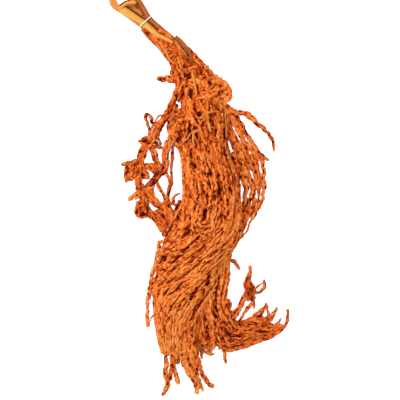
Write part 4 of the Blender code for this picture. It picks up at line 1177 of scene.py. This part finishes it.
# after each table comes the seed of its draws, then True where the hollows part a head's tassels,
# or tone and paleness where they aren't the usual ones
headPieces = {
    "topTasselsOuter": (headTassels(topHead, topOuter, 21, True), "head_top"),
    "topTasselsFall": (headTassels(topHead, topFall, 33, True), "head_top"),
    "topCurls": (curlTassels(34) + topStrands(standingTassels, 35), "head_top"),
    "neckTassels": (bundleTassels(neckBundles, 36, 0.60, 0.1), "head_top"),
    "topTasselsMiddle": (headTassels(topHead, topMiddle, 22, True), "head_top"),
    "topTasselsInner": (headTassels(topHead, topInner, 23) + [coreSurface(topHead, 31)], "head_top"),
    "hangingTips": (bundleTassels(hangingBundles, 24, 0.77, 0.8), "head_top"),
    "underTasselsLower": (
        headTassels(underHead, underLower, 25) + [coreSurface(underHead, 32)], "head_under"),
    "underTasselsUpper": (
        headTassels(underHead, underUpper, 26) + bundleTassels(restingBundles, 27), "head_under"),
    "tailSpray": (
        headTassels(tailSpray, tailTiers, 28) + bundleTassels(strayBundles, 29, 0.50), "head_under"),
    "leftSpray": (bundleTassels(leftBundles, 41, 0.54, 0.25) + leafSurfaces(dryLeaves, 43), "head_left"),
    "rightSpray": (bundleTassels(rightBundles, 42, 0.65), "head_right"),
}
for pieceName, (surfaces, node) in headPieces.items():
    meshPiece(pieceName, surfaces, tasselMaterial, [node])

# stalks

stalkLook = {
    "points": 30,           # for each point of a route
    "step": 2.5,
    "stretch": 0.06,        # how much the grain is pulled out lengthways
    "wander": 0.8,          # how far the ribs turn, in radians
    "wanderLength": 40,
    "groove": 0.02,
    "slow": 0.04,           # slow changes of thickness
    "slowLength": 18,
    "sunkEnd": 0.5,         # how far the middle of the cut end is pressed in, in radii
    "ribRelief": 0.4,
    "endRelief": 0.2,
    "firstSeed": 60,
    "stripRibs": 5,
    "stripSides": 14,
    "stemRibs": 3,
    "stemSides": 8,
}


def stalkSurface(route, radii, draw, ribs=9, ribHeight=0.06, flatness=1.0, sides=28, bark=0.0):
    # reach = radius x (1 + rib height x cos(ribs x turn + wander) + fine grooves + slow changes)
    # a bark share below 0 darkens the strip instead: a dark line of painted shadow between two stalks
    look = stalkLook
    path = evenSteps(smoothCurve(route, look["points"] * len(route)), look["step"])
    count = len(path)
    travelled = travelledAlong(path)
    radius = radii[0] + (radii[1] - radii[0]) * travelled / travelled[-1]
    turn = 2 * np.pi * np.arange(sides) / sides
    wander = look["wander"] * waver(draw, count, travelled[-1] / look["wanderLength"])[:, None]
    rib = np.cos(ribs * turn[None] + wander)
    groove = np.repeat(draw.normal(0, 1, (1, sides)), count, axis=0)
    slow = waver(draw, count, travelled[-1] / look["slowLength"])[:, None]
    reach = radius[:, None] * (1 + ribHeight * rib + look["groove"] * groove + look["slow"] * slow)
    points = sweep(path, reach, sides, 0.0, flatness)
    inwards = unit(path[1:2] - path[0:1])[0]
    points[-2] += inwards * look["sunkEnd"] * radius[0]
    quads, tris = tubeFaces(count, sides)
    spots = np.stack([np.cos(turn)[None] * radius[:, None], np.sin(turn)[None] * radius[:, None],
                      np.repeat(travelled[:, None] * look["stretch"], sides, axis=1)], axis=-1)
    spots = np.vstack([spots.reshape(-1, 3), [[0, 0, 0], [0, 0, travelled[-1] * look["stretch"]]]])
    # painted shade: the relief mark is darker between the ribs and at the middle of each end, and lower
    # still, as a painted shadow line, where the bark share is below 0
    relief = np.append(0.5 + look["ribRelief"] * rib.ravel(), [look["endRelief"]] * 2) + min(bark, 0)
    marks = {"grainSpot": spots * millimetre, "relief": relief, "bark": np.full(len(points), max(bark, 0.0))}
    return {"points": points, "quads": quads, "tris": tris, "marks": marks}


stalks = {
    "stalk_tan": {
        "radii": (8.2, 4.4), "flatness": 0.8, "slot": "tan_stalk", "roughness": 0.55,
        "colours": ((0.24, 0.054, 0.008), (0.54, 0.210, 0.032), (0.68, 0.345, 0.072)),
        "route": [(-160, 412, 29), (-144, 400, 30), (-117, 382.4, 31), (-98, 367, 33), (-82, 354, 33),
                  (-62, 339, 34), (-42, 318, 36)],
    },
    "stalk_brown": {
        "radii": (5.6, 4.2), "flatness": 1.0, "slot": "brown_stalk", "roughness": 0.65,
        "colours": ((0.030, 0.004, 0.001), (0.22, 0.048, 0.011), (0.38, 0.105, 0.025)),
        "route": [(-138, 442, 27), (-121.5, 418, 28), (-106.4, 392.8, 29), (-86, 374, 28), (-62, 354, 26),
                  (-36, 331, 25), (-10, 306, 23), (6, 284, 18), (18, 262, 14)],
    },
    "stalk_orange": {
        "radii": (6.4, 3.9), "flatness": 1.0, "slot": "orange_stalk", "roughness": 0.6,
        "colours": ((0.22, 0.026, 0.004), (0.60, 0.140, 0.022), (0.68, 0.210, 0.042)),
        "route": [(-147, 443, 20), (-135.5, 425, 19), (-123.5, 408, 17.5), (-108.1, 390.6, 15.6),
                  (-88, 368, 15), (-62, 340, 15), (-40, 314, 15)],
    },
    "stalk_rust": {
        "radii": (5.2, 4.2), "flatness": 1.0, "slot": "orange_stalk", "roughness": 0.65,
        "colours": ((0.12, 0.018, 0.004), (0.36, 0.085, 0.016), (0.50, 0.160, 0.035)),
        "route": [(-178, 438.5, 17), (-172, 421, 16), (-157, 408, 15.5), (-139, 397, 15),
                  (-118.4, 381.1, 15.4), (-104, 360, 15), (-85.5, 338, 15), (-68, 315, 14)],
    },
}
# strips and side stems on a stalk: radii, flatness, bark share, and the route with heights
# a strip with a bark share below 0 is a dark line of painted shadow along or between the stalks
stalkStrips = {
    "stalk_tan": [
        ((5.4, 4.4), 1.0, 1.0, [(-146, 401, 28), (-157, 406, 28), (-169, 413, 28), (-177, 422, 28),
            (-179, 441, 28)]),
        ((4.8, 3.0), 1.0, 0.9, [(-152, 406, 29), (-164, 414, 29), (-171, 423, 29), (-177, 441, 29)]),
        ((3.4, 2.8), 0.7, 0.5, [(-166, 411, 33), (-159, 413, 36), (-152, 418, 39), (-144, 421, 41),
            (-131, 421, 41)]),
        ((2.4, 2.0), 0.7, 0.9, [(-139, 428, 38), (-135, 424, 39), (-130, 420, 39)]),
        ((1.8, 1.6), 0.8, 0.9, [(-159, 404, 31), (-145, 393, 32), (-133, 384, 32), (-123, 376, 31)]),
        ((3.4, 2.4), 0.6, 0.2, [(-84, 358, 41), (-76, 353, 42.5), (-68, 349, 43), (-61, 345, 43)]),
        ((2.0, 1.6), 0.8, 0.9, [(-95, 347, 34), (-90, 341, 35), (-84, 332, 36), (-77, 319, 36)]),
        ((2.2, 1.6), 0.8, 0.95, [(-79, 334, 41), (-73, 325, 43), (-68, 315, 43), (-59, 305, 43)]),
        ((1.5, 1.1), 0.8, 0.6, [(-52, 339, 46), (-46, 333, 47), (-40, 327, 48), (-34, 320, 48)]),
        ((2.2, 1.6), 0.8, 0.95, [(-51, 316, 49), (-48, 306, 51), (-44, 294, 52)]),
    ],
    "stalk_brown": [
        ((3.8, 2.4), 0.5, -0.3, [(-56, 356, 43), (-45, 347, 46), (-37, 338, 47), (-30, 329, 48),
            (-27, 318, 49), (-24, 306, 50)]),
        ((4.2, 3.4), 0.8, 0.0, [(-146, 417, 9), (-138, 410, 9), (-126, 398, 9), (-116, 388, 9)]),
        ((1.3, 1.0), 1.0, -1.0, [(-151, 416, 31), (-142.5, 410.4, 31), (-129.2, 401.3, 31),
            (-114, 390.5, 31)]),
        ((1.8, 1.2), 1.0, -1.0, [(-131, 426, 31), (-126.4, 418, 32), (-119.7, 408, 32),
            (-112.1, 395.2, 32)]),
        ((1.2, 0.9), 1.0, -0.8, [(-134, 417, 27), (-131, 414, 27), (-128, 411, 27)]),
        ((1.5, 0.8), 1.0, -1.0, [(-110, 389.5, 33), (-105.5, 385.7, 34), (-96, 377, 35)]),
        ((1.5, 1.2), 0.8, -0.8, [(-162, 416, 37), (-156, 420, 40), (-150, 423.5, 41), (-142, 425, 42)]),
        ((1.2, 0.9), 1.0, -0.8, [(-115, 373.4, 33), (-109, 368.5, 34), (-103.6, 363.9, 35)]),
        ((3.6, 3.0), 0.8, 0.0, [(-136, 436, 12), (-129, 420, 12), (-121, 406, 12), (-113, 394, 12)]),
        ((1.1, 0.8), 1.0, -1.0, [(-54, 350, 46), (-48, 341, 48), (-40, 331, 49.5), (-34, 321, 50.5)]),
    ],
    "stalk_orange": [
        ((4.3, 3.0), 0.8, 0.0, [(-149, 415, 22), (-141, 412, 21), (-130.5, 406, 21),
            (-119.7, 399.4, 20)]),
        ((2.6, 3.6), 0.8, 0.0, [(-151, 415.5, 25), (-144.5, 417.5, 25), (-138, 416.5, 25),
            (-131.5, 412, 24), (-125.5, 405.5, 23), (-120, 399, 22)]),
        ((3.0, 3.0), 0.8, 0.0, [(-142, 419.5, 23), (-136, 419, 23), (-129, 414, 22)]),
    ],
    "stalk_rust": [
        ((3.4, 3.0), 0.8, 0.0, [(-150, 414, 11), (-138, 406, 11), (-122, 395, 11), (-106, 382, 12)]),
        ((2.8, 3.2), 0.9, 0.4, [(-121, 375, 15), (-116.5, 368, 15), (-111, 361, 15), (-104.5, 355, 15),
            (-97, 349.5, 15)]),
    ],
}
# bare stems that show on the top head: radius, lift, bark share, and the route from above
bareStems = [
    (2.5, 1.4, 0.9, [(-24, 288), (-21, 271), (-18, 258), (-16, 242)]),
    (2.4, 1.5, 0.5, [(6, 194), (8, 185), (10, 176)]),
    (1.8, 1.6, 0.7, [(-10, 178), (-16, 178), (-21, 173), (-23, 163), (-21, 150)]),
    (1.5, 1.4, 0.8, [(37, 212), (38, 205), (40, 178), (41, 165), (45, 146), (48, 138)]),
    (1.3, 1.6, 0.9, [(-12, 236), (-8, 228), (-3, 219), (3, 212)]),
    (1.4, 1.6, 0.9, [(-1, 203), (4, 210), (14, 213), (26, 215)]),
    (1.3, 1.6, 0.9, [(1, 201), (-6, 196), (-10, 192)]),
    (1.4, 1.2, 0.9, [(-51, 150), (-42, 155), (-32, 165), (-26, 174)]),
]


def bareStemSurfaces(draw):
    # a thin ribbed stem along the smooth curve through each route, laid on the top head
    ribs, sides = stalkLook["stemRibs"], stalkLook["stemSides"]
    made = []
    for radius, lift, bark, route in bareStems:
        spots = smoothCurve(route, laidLook["stemPoints"] * len(route))
        line, _ = laidOnTop(spots, radius, lift, laidLook["stemDiveLength"])
        made.append(stalkSurface(line, (radius, radius), draw, ribs=ribs, sides=sides, bark=bark))
    return made


for number, (name, stalk) in enumerate(stalks.items()):
    draw = np.random.default_rng(stalkLook["firstSeed"] + number)
    surfaces = [stalkSurface(stalk["route"], stalk["radii"], draw, flatness=stalk["flatness"])]
    for radii, flatness, bark, route in stalkStrips[name]:
        surfaces.append(stalkSurface(route, radii, draw, ribs=stalkLook["stripRibs"], flatness=flatness,
                                     sides=stalkLook["stripSides"], bark=bark))
    if name == "stalk_tan":
        surfaces += bareStemSurfaces(draw)
    finish = stalkFinish(name, stalk["colours"], stalk["roughness"])
    meshPiece(name + "_bark", surfaces, finish, [name])

# the white band, drawn tight round the four stalks

band = {
    "centre": np.array([-112.5, 386.5, 0.0]),
    "across": np.array([0.739, 0.675, 0.0]),
    "radius": 1.0,
    "slack": 0.7,
    "steps": 240,
    "sides": 14,
    "pathPoints": 400,
    "smoothings": 6,
    "twine": 0.06,         # height of the ridges that wind round the band
    "twineRidges": 9,
    "twineWinds": 14,
}
bandPaint = {
    "noiseScale": 900.0,
    "shift": 0.3,
    "weights": {"relief": 0.25, "noise": 0.4},
    "stops": [(0.0, (0.62, 0.56, 0.48)), (1.0, (0.93, 0.92, 0.89))],
    "roughness": 0.5,
}


def bandSurface():
    # in each direction the band lies on the stalk that reaches furthest, as round a bundle of rods
    # reach = the stalk's middle along that direction + its radius
    hoops = []
    for stalk in stalks.values():
        first, last = stalk["radii"]
        path = smoothCurve(stalk["route"], band["pathPoints"])
        nearest = int(np.argmin(np.linalg.norm(path[:, :2] - band["centre"][:2], axis=1)))
        radius = first + (last - first) * nearest / (band["pathPoints"] - 1)
        sideways = (path[nearest] - band["centre"]) @ band["across"]
        hoops.append((sideways, path[nearest][2], radius + band["slack"]))
    hoops = np.array(hoops)
    steps, sides = band["steps"], band["sides"]
    turn = 2 * np.pi * np.arange(steps) / steps
    way = np.stack([np.cos(turn), np.sin(turn)], axis=1)
    reach = hoops[:, :2] @ way.T + hoops[:, 2:3]
    furthest = hoops[np.argmax(reach, axis=0)]
    middle = furthest[:, :2] + way * (furthest[:, 2:3] + band["radius"])
    for _ in range(band["smoothings"]):
        middle = (np.roll(middle, 1, axis=0) + 2 * middle + np.roll(middle, -1, axis=0)) / 4
    along = np.cross(band["across"], [0, 0, 1])
    ringTurn = 2 * np.pi * np.arange(sides) / sides
    twine = np.cos(band["twineRidges"] * ringTurn[None] + band["twineWinds"] * turn[:, None])
    size = band["radius"] * (1 + band["twine"] * twine)
    flat = middle[:, None] + way[:, None] * (size * np.cos(ringTurn))[..., None]
    points = band["centre"] + flat[..., :1] * band["across"] + (size * np.sin(ringTurn))[..., None] * along
    points[..., 2] = flat[..., 1]
    i, k = np.meshgrid(np.arange(steps), np.arange(sides), indexing="ij")
    j, n = (i + 1) % steps, (k + 1) % sides
    quads = np.stack([i * sides + k, i * sides + n, j * sides + n, j * sides + k], axis=-1).reshape(-1, 4)
    marks = {"relief": twine.ravel()}
    return {"points": points.reshape(-1, 3), "quads": quads, "tris": np.zeros((0, 3), int), "marks": marks}


def bandFinish():
    # colour = ramp(ridges + noise)
    # the ridges part is painted shade: the band is darker between its windings
    finish, tree, shader = newFinish("band")
    noise = addNode(tree, "ShaderNodeTexNoise", Scale=bandPaint["noiseScale"])
    parts = {"relief": markOf(tree, "relief"), "noise": noise.outputs["Fac"]}
    value = sumOf(tree, bandPaint["shift"], parts, bandPaint["weights"])
    tree.links.new(rampFrom(tree, value, bandPaint["stops"]), shader.inputs["Base Color"])
    shader.inputs["Roughness"].default_value = bandPaint["roughness"]
    return finish


meshPiece("whiteBand", [bandSurface()], bandFinish(), ["tie"])

# table, light and camera

stageLook = {
    "tableSize": 8.0,
    "tableColour": (0.75, 0.75, 0.75),
    "tableRoughness": 0.9,
    "glow": 0.85,  # the table is lit from below
    "skyStrength": 0.80,
    "keyEnergy": 30.0,
    "keySize": 0.9,
    "keyFrom": (-0.9, 0.75, 1.7),
    "pictureWidth": 0.76,
    "lens": 120.0,
    "sensor": 36.0,
    "seenTo": 50.0,
    "lookAt": (-0.0015, -0.0085),
    "subjectHeight": 0.03,
}


def buildStage():
    # a flat table, an even sky and one soft lamp
    # the camera stands picture width x lens / sensor above the bunch
    half = stageLook["tableSize"] / 2
    corners = [(-half, -half, 0), (half, -half, 0), (half, half, 0), (-half, half, 0)]
    mesh = bpy.data.meshes.new("table")
    mesh.from_pydata(corners, [], [(0, 1, 2, 3)])
    table = bpy.data.objects.new("table", mesh)
    finish, _, shader = newFinish("table")
    shader.inputs["Base Color"].default_value = (*stageLook["tableColour"], 1.0)
    shader.inputs["Roughness"].default_value = stageLook["tableRoughness"]
    shader.inputs["Emission Color"].default_value = (1.0, 1.0, 1.0, 1.0)
    shader.inputs["Emission Strength"].default_value = stageLook["glow"]
    mesh.materials.append(finish)
    bpy.context.scene.collection.objects.link(table)
    world = bpy.data.worlds.new("sky")
    world.use_nodes = True
    world.node_tree.nodes["Background"].inputs["Color"].default_value = (1, 1, 1, 1)
    world.node_tree.nodes["Background"].inputs["Strength"].default_value = stageLook["skyStrength"]
    bpy.context.scene.world = world
    lamp = bpy.data.lights.new("key", "AREA")
    lamp.energy = stageLook["keyEnergy"]
    lamp.size = stageLook["keySize"]
    key = bpy.data.objects.new("key", lamp)
    key.location = stageLook["keyFrom"]
    key.rotation_euler = (-key.location).to_track_quat("-Z", "Y").to_euler()
    bpy.context.scene.collection.objects.link(key)
    camera = bpy.data.cameras.new("camera")
    camera.lens = stageLook["lens"]
    camera.sensor_width = stageLook["sensor"]
    distance = stageLook["pictureWidth"] * camera.lens / camera.sensor_width
    viewer = bpy.data.objects.new("camera", camera)
    viewer.location = (*stageLook["lookAt"], stageLook["subjectHeight"] + distance)
    camera.clip_end = stageLook["seenTo"]
    bpy.context.scene.collection.objects.link(viewer)
    bpy.context.scene.camera = viewer
    bpy.context.scene.view_settings.view_transform = "Standard"


buildStage()
print("stage built")
